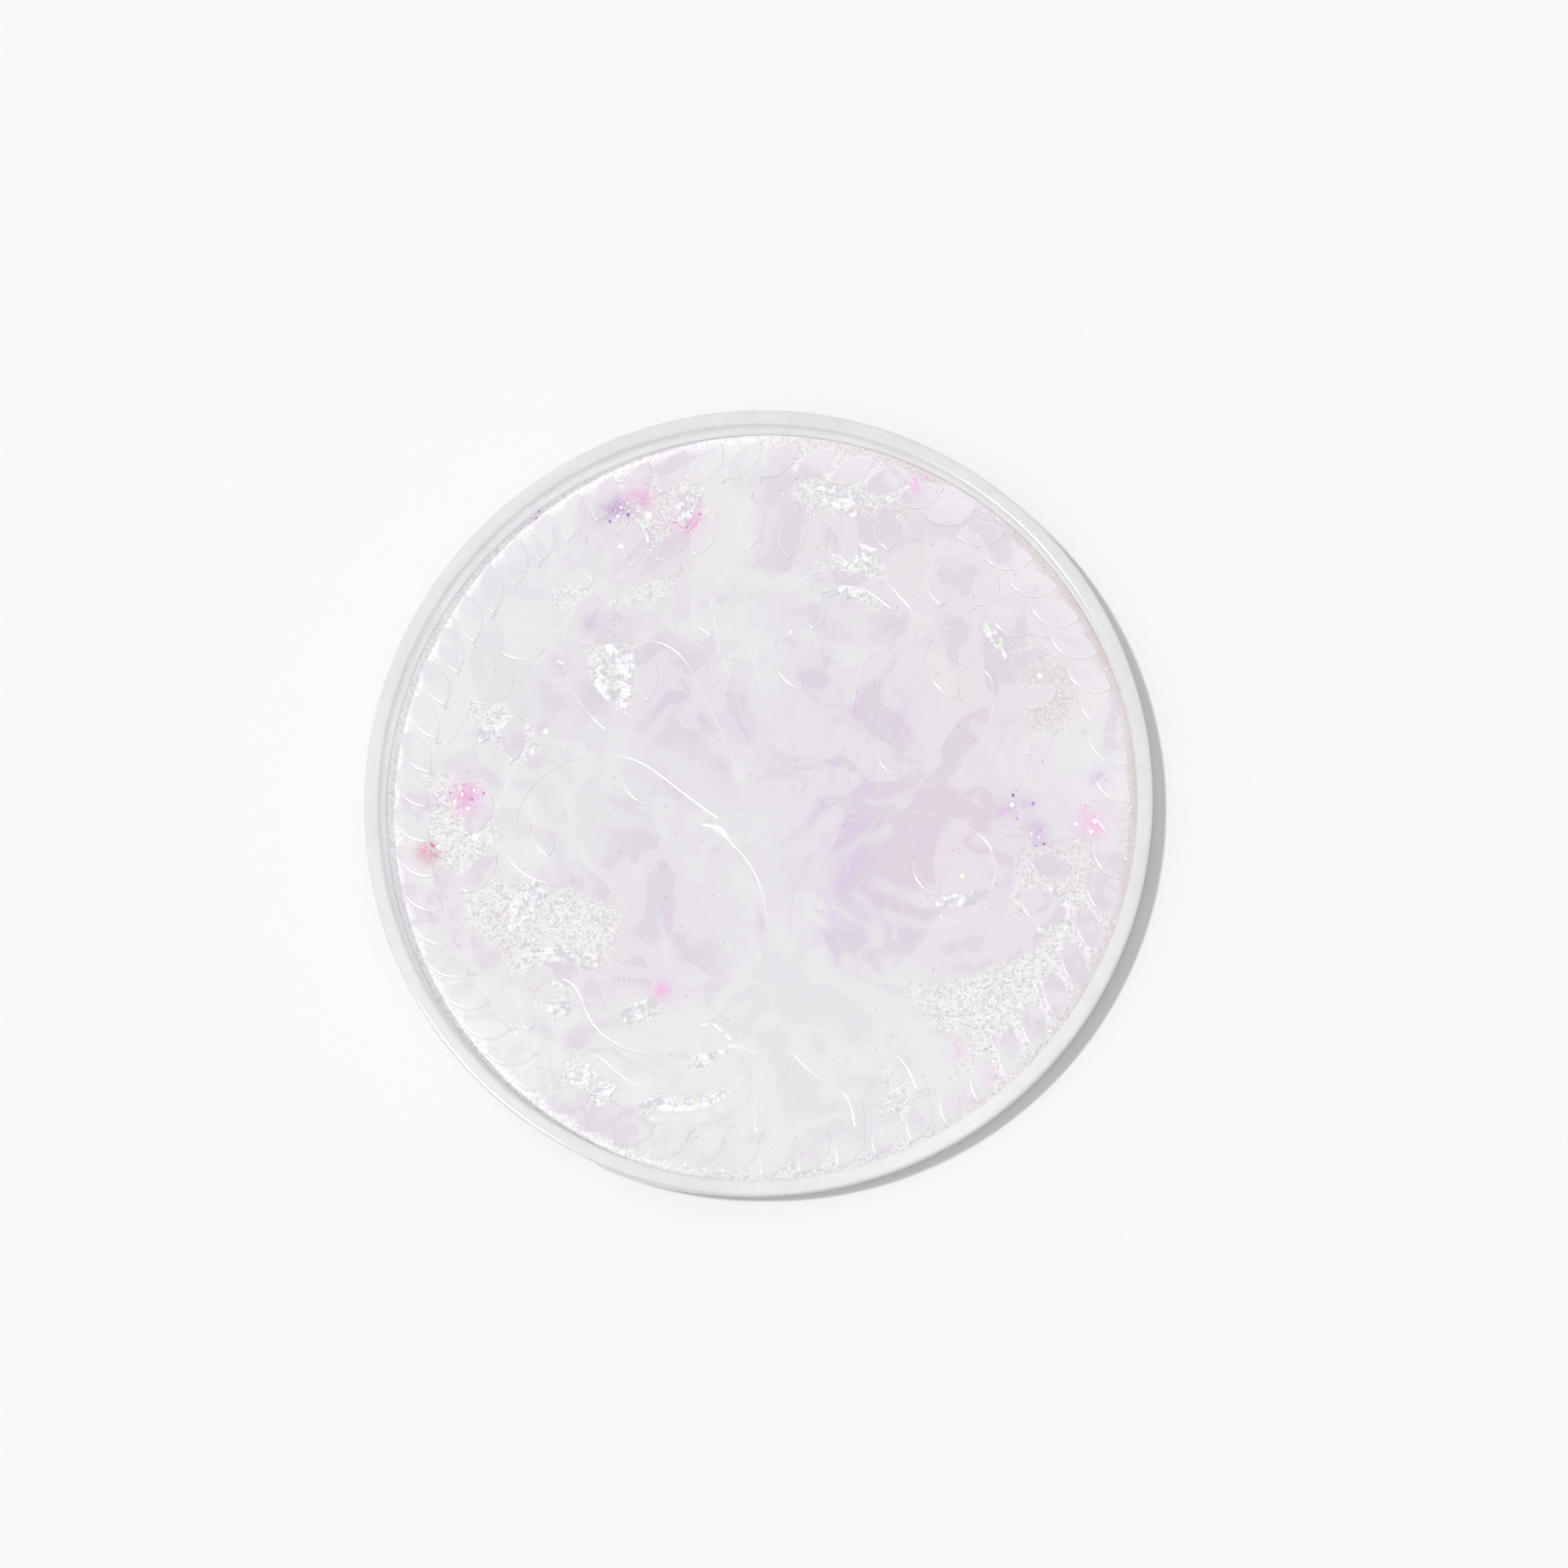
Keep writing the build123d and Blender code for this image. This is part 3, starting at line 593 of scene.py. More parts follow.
def wreath_ends():
    """Stem end and tip of each wreath leaf, each turned one step on from the last."""
    middle_r = LEAF_TIPS - LEAF_REACH
    half = np.array([-cos(LEAF_LEAN), sin(LEAF_LEAN)]) * LEAF_LENGTH / 2
    ends = []
    for number in range(LEAF_COUNT):
        turn = LEAF_PHASE + 2 * pi * number / LEAF_COUNT
        spin = np.array([[cos(turn), -sin(turn)], [sin(turn), cos(turn)]])
        ends.append((spin @ (np.array([middle_r, 0]) - half), spin @ (np.array([middle_r, 0]) + half)))
    return ends


def wreath_shape():
    return gathered([leaf_shape(stem, tip, LEAF_WIDTH * 1.08, RELIEF) for stem, tip in wreath_ends()])


def cloud(points, start_width, end_width, low, high, seed):
    """A smear of pigment: a flattened tube whose edge wanders by up to three tenths of its width."""
    draw = np.random.default_rng(seed)
    line = smooth_line([tuple(PLAN * value for value in point) for point in points], 60)
    along = np.gradient(line, axis=0)
    along /= np.linalg.norm(along, axis=1)[:, None]
    side = np.stack([-along[:, 1], along[:, 0]], -1)
    share = np.linspace(0, 1, 60)
    rounded = np.sqrt(np.clip(1 - (2 * share - 1) ** 8, 0.01, 1))
    half = (start_width + (end_width - start_width) * share) / 2 * rounded
    turn = np.linspace(0, 2 * pi, 24, endpoint=False)
    wander = sum(np.sin(n * 6 * share + draw.uniform(0, 6)) for n in (1, 2, 4)) / 3
    half = half * (0.85 + 0.15 * wander)
    place = line[:, None, :] + side[:, None, :] * (half[:, None] * np.cos(turn))[..., None]
    z = (low + high) / 2 + (high - low) / 2 * np.sin(turn) * np.ones((60, 1))
    return outward(rings_to_mesh(np.concatenate([place, z[..., None]], -1)))


def clouds(smears, low, high):
    return gathered([cloud(*one, low, high, seed) for seed, one in enumerate(smears)])


def solids_of(node):
    """The separate solids of a CAD node, each as its own points in millimetres.

    Points that coincide are merged, then each triangle gives its corners the lowest of their three labels
    until nothing changes.
    """
    mesh = PARTS[node].data
    places = np.empty(len(mesh.vertices) * 3, np.float32)
    mesh.vertices.foreach_get("co", places)
    corners = np.empty(len(mesh.loops), np.int32)
    mesh.loops.foreach_get("vertex_index", corners)
    points, index = np.unique(np.round(places.reshape(-1, 3) / MM, 4), axis=0, return_inverse=True)
    triangles = index.ravel()[corners].reshape(-1, 3)
    label = np.arange(len(points))
    while True:
        lowest = label.copy()
        for corner in range(3):
            np.minimum.at(lowest, triangles[:, corner], label[triangles].min(axis=1))
        if (lowest == label).all():
            break
        label = lowest
    return [points[label == one] for one in np.unique(label)]


def crumpled_film(solid, seed):
    """A crumpled sheet where a CAD film solid lies.

    The sheet spans the solid's two longest directions. Its height is a sum of folded waves,
    |sin(a u + b v + c)|, so that it lies in flat facets with sharp creases between them.
    """
    draw = np.random.default_rng(seed)
    middle = solid.mean(0)
    directions = np.linalg.svd(solid[:, :2] - middle[:2])[2]
    spans = np.abs((solid[:, :2] - middle[:2]) @ directions.T).max(0)
    u, v = np.meshgrid(np.linspace(-1, 1, 34), np.linspace(-1, 1, 18), indexing="ij")
    ragged = 1 + 0.10 * np.sin(9 * u + draw.uniform(0, 6)) + 0.08 * np.sin(21 * u + draw.uniform(0, 6))
    along, across = (u * spans[0])[..., None], (v * ragged * spans[1])[..., None]
    place = middle[:2] + along * directions[0] + across * directions[1]
    height = np.zeros(u.shape)
    for _ in range(3):
        a, b, c = draw.uniform(1, 3.2), draw.uniform(-2.4, 2.4), draw.uniform(0, 6)
        height += np.abs(np.sin(a * u + b * v + c)) * draw.uniform(0.4, 1)
    height = (height - height.min()) / np.ptp(height)
    top = np.concatenate([place, (FLOOR - FILM_REACH + 2 * FILM_REACH * height)[..., None]], -1)
    under = top - np.array([0, 0, 0.03])
    rings = np.concatenate([top, under[:, ::-1]], axis=1)
    return outward(rings_to_mesh(rings))


def film_shape():
    return gathered([crumpled_film(one, seed) for seed, one in enumerate(solids_of("film_flakes"))])


def plates(node, seed):
    """Glitter plates over the middles of a CAD node's solids, tilted a little, just under the skin.

    Each is a hexagon with its corners at 60 degrees, closed on a pole above and one below.
    """
    draw = np.random.default_rng(seed)
    found = []
    for solid in solids_of(node):
        radius = np.ptp(solid[:, 0]) * draw.uniform(0.2, 0.42)
        middle = np.array([*solid[:, :2].mean(0), FLOOR - 0.03])
        turn = np.linspace(0, 2 * pi, 7)[:-1] + draw.uniform(0, 1)
        lean = draw.normal(size=2) * 0.12
        flat = np.stack([radius * np.cos(turn), radius * np.sin(turn)], -1)
        rim = np.concatenate([flat, (flat @ lean)[:, None]], -1) + middle
        found.append(outward(rings_to_mesh(np.stack([rim - [0, 0, 0.03], rim + [0, 0, 0.03]]))))
    return gathered(found)


def specks(middle, size, seed):
    """Many thin four-cornered plates at the given middles, each turned its own way.

    A plate's corners stand on two random directions at right angles, and two flat poles close it, a
    hundredth of a millimetre apart.
    """
    draw = np.random.default_rng(seed)
    count = len(middle)
    facing = draw.normal(size=(count, 3)) * np.array([0.22, 0.22, 1.0])
    facing /= np.linalg.norm(facing, axis=1)[:, None]
    first = np.cross(facing, [0.31, 0.87, 0.11])
    first /= np.linalg.norm(first, axis=1)[:, None]
    second = np.cross(facing, first)
    radius = (draw.uniform(0.55, 1.0, count) * size / 2)[:, None]
    outline = [first * radius, second * radius, -first * radius, -second * radius]
    points = np.stack([middle + one for one in outline + [facing * 0.01, -facing * 0.01]], axis=1)
    lids = np.array([[0, 1, 4], [1, 2, 4], [2, 3, 4], [3, 0, 4],
                     [1, 0, 5], [2, 1, 5], [3, 2, 5], [0, 3, 5]])
    fans = (lids[None] + 6 * np.arange(count)[:, None, None]).reshape(-1, 3)
    return points.reshape(-1, 3), np.zeros((0, 4), int), fans


def in_windows(count, seed):
    """Places in the clear windows, even over their area, from just over the skin to 0.23 mm under it."""
    draw = np.random.default_rng(seed)
    reach = inner_wall(FLOOR) - 0.2
    away, turn = reach * np.sqrt(draw.uniform(0, 1, count)), draw.uniform(0, 2 * pi, count)
    z = FLOOR + 0.02 - 0.25 * draw.uniform(0, 1, count) ** 2
    places = np.stack([away * np.cos(turn), away * np.sin(turn), z], -1)
    return places[pour_fields(places[:, 0], places[:, 1])["window"] > -0.4]


def in_rim(count, seed):
    """Places in the rim, even through it."""
    draw = np.random.default_rng(seed)
    z, turn = draw.uniform(FLOOR, RIM_TOP - 0.25, count), draw.uniform(0, 2 * pi, count)
    away = inner_wall(z) + 0.25 + draw.uniform(0, 1, count) * (RIM_WIDTH - 0.5)
    return np.stack([away * np.cos(turn), away * np.sin(turn), z], -1)


def bubbles(centres, sizes):
    """Small bubbles, each a ball of 6 by 8 faces: rings of latitude closed on two poles."""
    height = np.cos(np.linspace(0, pi, 7))[1:-1]
    turn = np.linspace(0, 2 * pi, 8, endpoint=False)
    wide = np.sqrt(1 - height**2)
    unit = np.stack([wide[:, None] * np.cos(turn), wide[:, None] * np.sin(turn),
                     np.broadcast_to(height[:, None], (5, 8))], -1)
    balls = [centre + unit * size / 2 for centre, size in zip(centres, sizes)]
    return gathered([outward(rings_to_mesh(ball)) for ball in balls])


def bubble_centres():
    """Air caught at the leaf tips: none to three bubbles past each, at the height of the relief's foot."""
    draw = np.random.default_rng(21)
    loose = [(np.array(stem) * PLAN, np.array(tip) * PLAN) for stem, tip, _ in CROWN_LEFT + CROWN_RIGHT]
    spots = []
    for stem, tip in wreath_ends() + loose:
        past = (tip - stem) / np.linalg.norm(tip - stem)
        for number in range(draw.integers(0, 4)):
            spot = tip + past * (0.15 + 0.28 * number) + draw.normal(size=2) * 0.12
            if np.hypot(*spot) < inner_wall(FLOOR) - 0.4:
                spots.append((*spot, FLOOR + 0.05))
    return np.array(spots), draw.uniform(0.2, 0.4, len(spots))


# ---- materials ------------------------------------------------------------------------------------------
MILK = "#E5E4E7"
PEARL = "#DEDADF"
LILAC = "#D8CADF"
ROSE = "#E2D3DB"
CLEARNESS = 0.12                    # how much the frosted windows let through
# dye field, its colour, how far it covers the pour
BLED_DYES = [("violet_dye", "#B592C8", 0.42), ("magenta_dye", "#EDA9DC", 0.8), ("red_dye", "#C96780", 0.95)]
# painted light: emission, as shares of white, standing in for light that clear resin gathers outside and
# carries round
PAINTED_RIM_LIGHT = 0.08                # in the rim everywhere
PAINTED_GLOW_LIGHT = 0.13                   # in the rim, on the side where it leaves again
PAINTED_WALL_LIGHT = 0.52                   # in the rim's inner wall at the floor
PAINTED_CHANNEL_LIGHT = 0.27                # in the rim's own shadow on the channel
PAINTED_EDGE_LIGHT = 0.26                   # along the sloping edges of the relief


def linear(code):
    """An sRGB hex colour as linear red, green, blue and full alpha."""
    parts = [int(code[place:place + 2], 16) / 255 for place in (1, 3, 5)]
    return (*(part / 12.92 if part <= 0.04045 else ((part + 0.055) / 1.055) ** 2.4 for part in parts), 1.0)


def add(tree, kind, inputs=None, **settings):
    """Adds a node with its settings; an input is a number, a hex colour or another node's socket."""
    made = tree.nodes.new(kind)
    for name, value in settings.items():
        setattr(made, name, value)
    for name, value in (inputs or {}).items():
        if isinstance(value, bpy.types.NodeSocket):
            tree.links.new(value, made.inputs[name])
        else:
            made.inputs[name].default_value = linear(value) if isinstance(value, str) else value
    return made


def new_material(name):
    material = bpy.data.materials.new(name)
    material.use_nodes = True
    material.node_tree.nodes.clear()
    return material, material.node_tree


def millimetres(tree):
    """Object coordinates, counted in millimetres."""
    place = add(tree, "ShaderNodeTexCoord").outputs["Object"]
    return add(tree, "ShaderNodeMapping", {"Vector": place, "Scale": (1 / MM,) * 3}).outputs["Vector"]


def blend_colours(tree, share, low, high):
    """Colour low where share is 0, high where it is 1."""
    return add(tree, "ShaderNodeMix", {0: share, 6: low, 7: high}, data_type="RGBA").outputs[2]


def stretched(tree, value, low, high, start=0.0, end=1.0):
    """A value brought from the range low..high to start..end, held at both ends."""
    inputs = {"Value": value, "From Min": low, "From Max": high, "To Min": start, "To Max": end}
    return add(tree, "ShaderNodeMapRange", inputs, interpolation_type="SMOOTHSTEP").outputs["Result"]


def field(tree, name):
    return add(tree, "ShaderNodeAttribute", attribute_name=name, attribute_type="GEOMETRY").outputs["Fac"]


def noise(tree, place, scale, detail, **inputs):
    """Plain noise, 0 to 1, about `scale` features to the millimetre."""
    inputs = {"Vector": place, "Scale": scale, "Detail": detail, **inputs}
    return add(tree, "ShaderNodeTexNoise", inputs).outputs["Fac"]


def red_of(tree, colour):
    return add(tree, "ShaderNodeSeparateColor", {"Color": colour}).outputs[0]


def bumped(tree, height, strength, distance):
    """The surface's direction bumped by a height; distance is in metres."""
    inputs = {"Height": height, "Strength": strength, "Distance": distance}
    return add(tree, "ShaderNodeBump", inputs).outputs["Normal"]


def principled(tree, inputs):
    return add(tree, "ShaderNodeBsdfPrincipled", inputs).outputs[0]


def see_through(tree):
    return add(tree, "ShaderNodeBsdfTransparent", {"Color": "#FBFAFB"}).outputs[0]


def mixed(tree, share, first, second):
    """The first shader where share is 0, the second where it is 1."""
    return add(tree, "ShaderNodeMixShader", {0: share, 1: first, 2: second}).outputs[0]


def show(tree, surface):
    add(tree, "ShaderNodeOutputMaterial", {"Surface": surface})


def flowing(tree, place, scale, pull, detail=4.0):
    """Marbled noise: a slow noise first pulls the place aside, as stirred resin folds over itself."""
    slow = {"Vector": place, "Scale": scale * 0.45, "Detail": 2.0}
    drift = add(tree, "ShaderNodeTexNoise", slow).outputs["Color"]
    centred = {0: drift, 1: (0.5, 0.5, 0.5)}
    shift = add(tree, "ShaderNodeVectorMath", centred, operation="SUBTRACT").outputs[0]
    pulled = {0: shift, 1: (pull, pull, pull), 2: place}
    moved = add(tree, "ShaderNodeVectorMath", pulled, operation="MULTIPLY_ADD").outputs[0]
    return noise(tree, moved, scale, detail, Roughness=0.5, Distortion=0.8)


def soft_normal(tree, share):
    """The surface's direction leant towards straight up.

    Light wanders a few millimetres inside translucent resin, so small slopes shade more softly than on
    stone.
    """
    normal = add(tree, "ShaderNodeNewGeometry").outputs["Normal"]
    lean = times(tree, field(tree, "upper"), share)
    inputs = {0: lean, 4: normal, 5: (0.0, 0.0, 1.0)}
    leant = add(tree, "ShaderNodeMix", inputs, data_type="VECTOR").outputs[1]
    return add(tree, "ShaderNodeVectorMath", {0: leant}, operation="NORMALIZE").outputs[0]


def times(tree, first, second):
    return add(tree, "ShaderNodeMath", {0: first, 1: second}, operation="MULTIPLY").outputs[0]


def plus(tree, first, second):
    return add(tree, "ShaderNodeMath", {0: first, 1: second}, operation="ADD").outputs[0]


def pour_colour(tree, place):
    """Colour of the pours: white pigment that thins out over a greyer pearl, tinted lilac and rose."""
    folds = flowing(tree, place, 0.09, 26.0)
    wisps = flowing(tree, place, 0.22, 14.0, 5.0)
    amount = plus(tree, plus(tree, field(tree, "milk"), times(tree, folds, 1.1)), times(tree, wisps, 0.7))
    milkiness = stretched(tree, amount, 0.8, 1.12)
    lilac_share = times(tree, field(tree, "lilac"), stretched(tree, wisps, 0.4, 0.6, 0.25, 1.4))
    rose_share = times(tree, field(tree, "rose"), stretched(tree, folds, 0.38, 0.6, 0.3, 1.2))
    thin = blend_colours(tree, lilac_share, PEARL, LILAC)
    thin = blend_colours(tree, rose_share, thin, ROSE)
    veil = flowing(tree, place, 0.13, 20.0, 3.0)
    thin = blend_colours(tree, stretched(tree, veil, 0.40, 0.56, 0.0, 0.3), thin, "#CDC4D3")
    thin = blend_colours(tree, stretched(tree, veil, 0.545, 0.49, 0.0, 0.45), thin, "#E6E4E9")
    thick = blend_colours(tree, times(tree, lilac_share, 0.45), MILK, LILAC)
    thick = blend_colours(tree, stretched(tree, veil, 0.46, 0.58, 0.0, 0.4), thick, "#DAD5DD")
    thick = blend_colours(tree, times(tree, rose_share, 0.4), thick, ROSE)
    colour = blend_colours(tree, milkiness, thin, thick)
    return colour, folds, wisps


def dyed(tree, colour, wisps):
    """The colour with the dyes that bled round the knots of coloured glitter laid over it in wisps."""
    for name, code, reach in BLED_DYES:
        share = times(tree, field(tree, name), stretched(tree, wisps, 0.38, 0.6, 0.1, reach))
        colour = blend_colours(tree, share, colour, code)
    return colour


def grains(tree, place, per_mm, threshold, seed_shift=0.0):
    """Scattered round grains, 1 inside and 0 outside, and each one's own shade.

    Only the cells whose own random number is over threshold hold a grain.
    """
    shift = (seed_shift, seed_shift, 0.0)
    moved = add(tree, "ShaderNodeMapping", {"Vector": place, "Location": shift}).outputs["Vector"]
    cells = add(tree, "ShaderNodeTexVoronoi", {"Vector": moved, "Scale": per_mm, "Randomness": 1.0})
    pick = add(tree, "ShaderNodeSeparateColor", {"Color": cells.outputs["Color"]})
    chosen = stretched(tree, pick.outputs[0], threshold, threshold + 0.02)
    near = stretched(tree, cells.outputs["Distance"], 0.26, 0.14)
    return times(tree, chosen, near), pick.outputs[1]


def cast_epoxy(name, windows=True):
    """Cast epoxy resin with pearl pigment: a glossy skin over milk-white and lilac clouds.

    Cured against a silicone mould, so it is smooth and shiny with a faint orange peel. Where the pour
    stayed clear, in its windows, it is frosted with glitter and lets only a little of what lies below show
    through.
    """
    material, tree = new_material(name)
    place = millimetres(tree)
    colour, folds, wisps = pour_colour(tree, place)
    pink, _ = grains(tree, place, 1.5, 0.94)
    colour = blend_colours(tree, times(tree, pink, 0.4), colour, "#B878AC")
    bump = bumped(tree, noise(tree, place, 0.9, 3.0), 0.12, 0.00012)
    facing = add(tree, "ShaderNodeNewGeometry").outputs["Normal"]
    steep = add(tree, "ShaderNodeSeparateXYZ", {"Vector": facing}).outputs["Z"]
    # painted highlight: the relief's sloping edges glow as emission in a pale white
    painted_edge_strength = times(tree, field(tree, "upper"), PAINTED_EDGE_LIGHT)
    surface = {
        "Roughness": stretched(tree, wisps, 0.3, 0.7, 0.07, 0.1), "IOR": 1.5, "Specular IOR Level": 0.28,
        "Coat Weight": 0.08, "Coat Roughness": 0.05, "Normal": soft_normal(tree, 0.75), "Coat Normal": bump,
        "Emission Color": "#F6F5F7",
        "Emission Strength": times(tree, stretched(tree, steep, 0.93, 0.55), painted_edge_strength),
    }
    if not windows:
        show(tree, principled(tree, {"Base Color": dyed(tree, colour, wisps), **surface}))
        return material
    edge = plus(tree, times(tree, plus(tree, folds, -0.5), 8.0), field(tree, "window"))
    window = stretched(tree, edge, -1.1, 1.1)
    # painted light: on the skin, emission in the rim's shadow on the channel takes the place of the edge
    # glow
    surface["Emission Strength"] = times(tree, field(tree, "shaded"), PAINTED_CHANNEL_LIGHT)
    glint = add(tree, "ShaderNodeTexVoronoi", {"Vector": place, "Scale": 3.8})
    tone = red_of(tree, glint.outputs["Color"])
    frost = blend_colours(tree, stretched(tree, tone, 0.1, 0.5), "#DEDBE0", "#F5F4F6")
    frost = blend_colours(tree, stretched(tree, tone, 0.72, 0.95), frost, "#FFFFFF")
    frost = blend_colours(tree, times(tree, field(tree, "rose"), 0.5), frost, ROSE)
    frost = blend_colours(tree, times(tree, field(tree, "far_side"), 0.8), frost, "#D9CFCF")
    red_specks, _ = grains(tree, place, 2.1, 0.9, 5.1)
    frost = blend_colours(tree, times(tree, red_specks, 0.55), frost, "#B35E94")
    colour = dyed(tree, blend_colours(tree, window, colour, frost), wisps)
    side = blend_colours(tree, 0.65, colour, "#DDDBDF")
    colour = blend_colours(tree, field(tree, "upper"), side, colour)
    skin = principled(tree, {"Base Color": colour, **surface})
    show(tree, mixed(tree, times(tree, window, CLEARNESS), skin, see_through(tree)))
    return material


def clear_epoxy(name):
    """Clear epoxy with fine silver glitter, cast in the mould's rim channel.

    Faintly hazy from air, so it shows light grey, and you see the glitter inside and what lies behind.
    """
    material, tree = new_material(name)
    place = millimetres(tree)
    haze = flowing(tree, place, 0.12, 12.0)
    silver, tone = grains(tree, place, 3.6, 0.66, 2.1)
    colour = blend_colours(tree, stretched(tree, haze, 0.36, 0.64), "#EFEEF0", "#E6E4E8")
    grain = blend_colours(tree, tone, "#BDBAC2", "#FFFFFF")
    colour = blend_colours(tree, times(tree, silver, 0.7), colour, grain)
    # painted light: the rim glows as emission in its own colour, more on its inner wall and on its lower
    # right side
    painted_glow_strength = plus(tree, times(tree, field(tree, "sunken"), PAINTED_WALL_LIGHT), PAINTED_RIM_LIGHT)
    painted_glow_strength = plus(tree, times(tree, field(tree, "glow"), PAINTED_GLOW_LIGHT), painted_glow_strength)
    bump = bumped(tree, noise(tree, place, 0.6, 3.0), 0.1, 0.0001)
    clear = principled(tree, {
        "Base Color": colour, "Roughness": stretched(tree, haze, 0.3, 0.7, 0.07, 0.1), "IOR": 1.5,
        "Specular IOR Level": 0.14, "Coat Weight": 0.1, "Coat Roughness": 0.06,
        "Normal": soft_normal(tree, 0.7), "Coat Normal": bump,
        "Subsurface Weight": 1.0, "Subsurface Scale": 0.006, "Subsurface Radius": (1.0, 0.97, 1.0),
        "Emission Color": colour, "Emission Strength": painted_glow_strength,
    })
    edge = add(tree, "ShaderNodeLayerWeight", {"Blend": 0.3}).outputs["Facing"]
    show(tree, mixed(tree, stretched(tree, edge, 0.0, 0.95, 0.86, 0.96), see_through(tree), clear))
    return material


def metallised_glitter(name, light, dark, roughness=0.3, film=0.0, metal=0.75):
    """Polyester glitter, metallised and cut into hexagons: each plate mirrors in its own tone."""
    material, tree = new_material(name)
    place = millimetres(tree)
    tone = noise(tree, place, 1.7, 2.0)
    colour = blend_colours(tree, stretched(tree, tone, 0.35, 0.65), light, dark)
    show(tree, principled(tree, {
        "Base Color": colour, "Metallic": metal, "Roughness": roughness,
        "Thin Film Thickness": film, "Thin Film IOR": 1.5,
    }))
    return material


def iridescent_film():
    """Iridescent polyester film, torn and crumpled: bright white with pale green tints, and grey painted on
    cells as shade of facets turned from the light.
    """
    material, tree = new_material("iridescent_polyester_film")
    place = millimetres(tree)
    tone = noise(tree, place, 0.5, 3.0, Distortion=1.0)
    facet = add(tree, "ShaderNodeTexVoronoi", {"Vector": place, "Scale": 1.5}, distance="MANHATTAN")
    shade = red_of(tree, facet.outputs["Color"])
    colour = blend_colours(tree, stretched(tree, tone, 0.5, 0.68), "#F0EFF2", "#E2EEDF")
    # painted shade: grey cells stand for facets turned away from the light
    colour = blend_colours(tree, stretched(tree, shade, 0.3, 0.6, 0.0, 0.8), colour, "#CFCAD4")
    fine = noise(tree, place, 2.4, 4.0)
    glitz = noise(tree, place, 0.7, 5.0, Roughness=0.6)
    show(tree, principled(tree, {
        "Base Color": colour, "Roughness": stretched(tree, fine, 0.3, 0.7, 0.16, 0.32),
        "Specular IOR Level": stretched(tree, glitz, 0.42, 0.58, 0.04, 0.6),
        "Normal": bumped(tree, fine, 0.4, 0.0002),
    }))
    return material


def pearl_haze():
    """Hazy epoxy below the clear windows: pearl powder and fine silver glitter that settled in the pour."""
    material, tree = new_material("pearl_powder_epoxy")
    place = millimetres(tree)
    tone = flowing(tree, place, 0.12, 12.0)
    silver, shade = grains(tree, place, 3.4, 0.45, 3.7)
    colour = blend_colours(tree, stretched(tree, tone, 0.36, 0.64), "#F6F5F6", "#EAE7EA")
    grain = blend_colours(tree, shade, "#CFCBD2", "#FFFFFF")
    colour = blend_colours(tree, times(tree, silver, 0.8), colour, grain)
    show(tree, principled(tree, {"Base Color": colour, "Roughness": 0.5}))
    return material


def air_bubble():
    """An air bubble: pale in the middle, with painted shade darker towards its edge, where light turns
    back.
    """
    material, tree = new_material("air_bubble")
    edge = add(tree, "ShaderNodeLayerWeight", {"Blend": 0.5}).outputs["Facing"]
    # painted shade: the colour darkens towards the bubble's edge as seen
    colour = blend_colours(tree, stretched(tree, edge, 0.2, 0.9), "#F4F3F6", "#A5A1AB")
    show(tree, principled(tree, {
        "Base Color": colour, "Roughness": 0.05, "IOR": 1.5, "Coat Weight": 0.6, "Coat Roughness": 0.03,
    }))
    return material


# ---- the casting ----------------------------------------------------------------------------------------
pearl_skin = cast_epoxy("pearl_epoxy_skin")
pearl_relief = cast_epoxy("pearl_epoxy_relief", windows=False)
rim_resin = clear_epoxy("clear_epoxy_rim")

piece("clear_disc", disc_shape(), pearl_skin, ["clear_body"])
piece("standing_rim", rim_shape(), rim_resin, ["rim_ring"])
# new piece, its shape, its material slot, the CAD node it stands for
CAST_PIECES = [
    ("wreath", wreath_shape(), "pearl_resin", "wreath_leaves"),
    ("tree_trunk", trunk_shape(), "pearl_resin", "trunk"),
    ("left_branches", strands(BRANCHES_LEFT, 0.05), "pearl_resin", "branches_left"),
    ("right_branches", strands(BRANCHES_RIGHT, 0.05), "pearl_resin", "branches_right"),
    ("left_roots", strands(ROOTS_LEFT, 0.07), "pearl_resin", "roots_left"),
    ("right_roots", strands(ROOTS_RIGHT, 0.07), "pearl_resin", "roots_right"),
    ("left_crown_leaves", crown_shape(CROWN_LEFT), "pearl_resin", "crown_leaves_left"),
    ("right_crown_leaves", crown_shape(CROWN_RIGHT), "pearl_resin", "crown_leaves_right"),
    ("milk_clouds", clouds(MILK_SMEARS, MILK_LOW, MILK_HIGH), "milk_resin", "milk_swirl"),
    ("lilac_clouds", clouds(LILAC_SMEARS, LILAC_LOW, LILAC_HIGH), "lilac_resin", "lilac_swirl"),
]
for new_name, shape, slot_name, node_name in CAST_PIECES:
    piece(new_name, shape, pearl_relief, [node_name])

piece("pearl_haze", haze_shape(), pearl_haze())
piece("crumpled_film", film_shape(), iridescent_film(), ["film_flakes"], smooth=False)

# CAD node, material slot, light tone, dark tone, roughness, thickness of the pearl coating in nanometres
GLITTER = [
    ("pearl_hexagons", "green_pearl_glitter", "#E9FBE2", "#FBF8CF", 0.22, 320.0),
    ("violet_glitter", "violet_glitter", "#BE9AD2", "#9C6FB8", 0.3, 0.0),
    ("magenta_glitter", "magenta_glitter", "#EC9BD2", "#D070B0", 0.3, 0.0),
    ("red_glitter", "red_glitter", "#DC7F93", "#B84E68", 0.3, 0.0),
]
for seed, (node_name, slot_name, light, dark, roughness, coating) in enumerate(GLITTER):
    finish = metallised_glitter(slot_name + "_plate", light, dark, roughness, coating)
    piece(node_name + "_plates", plates(node_name, seed), finish, [node_name], smooth=False)

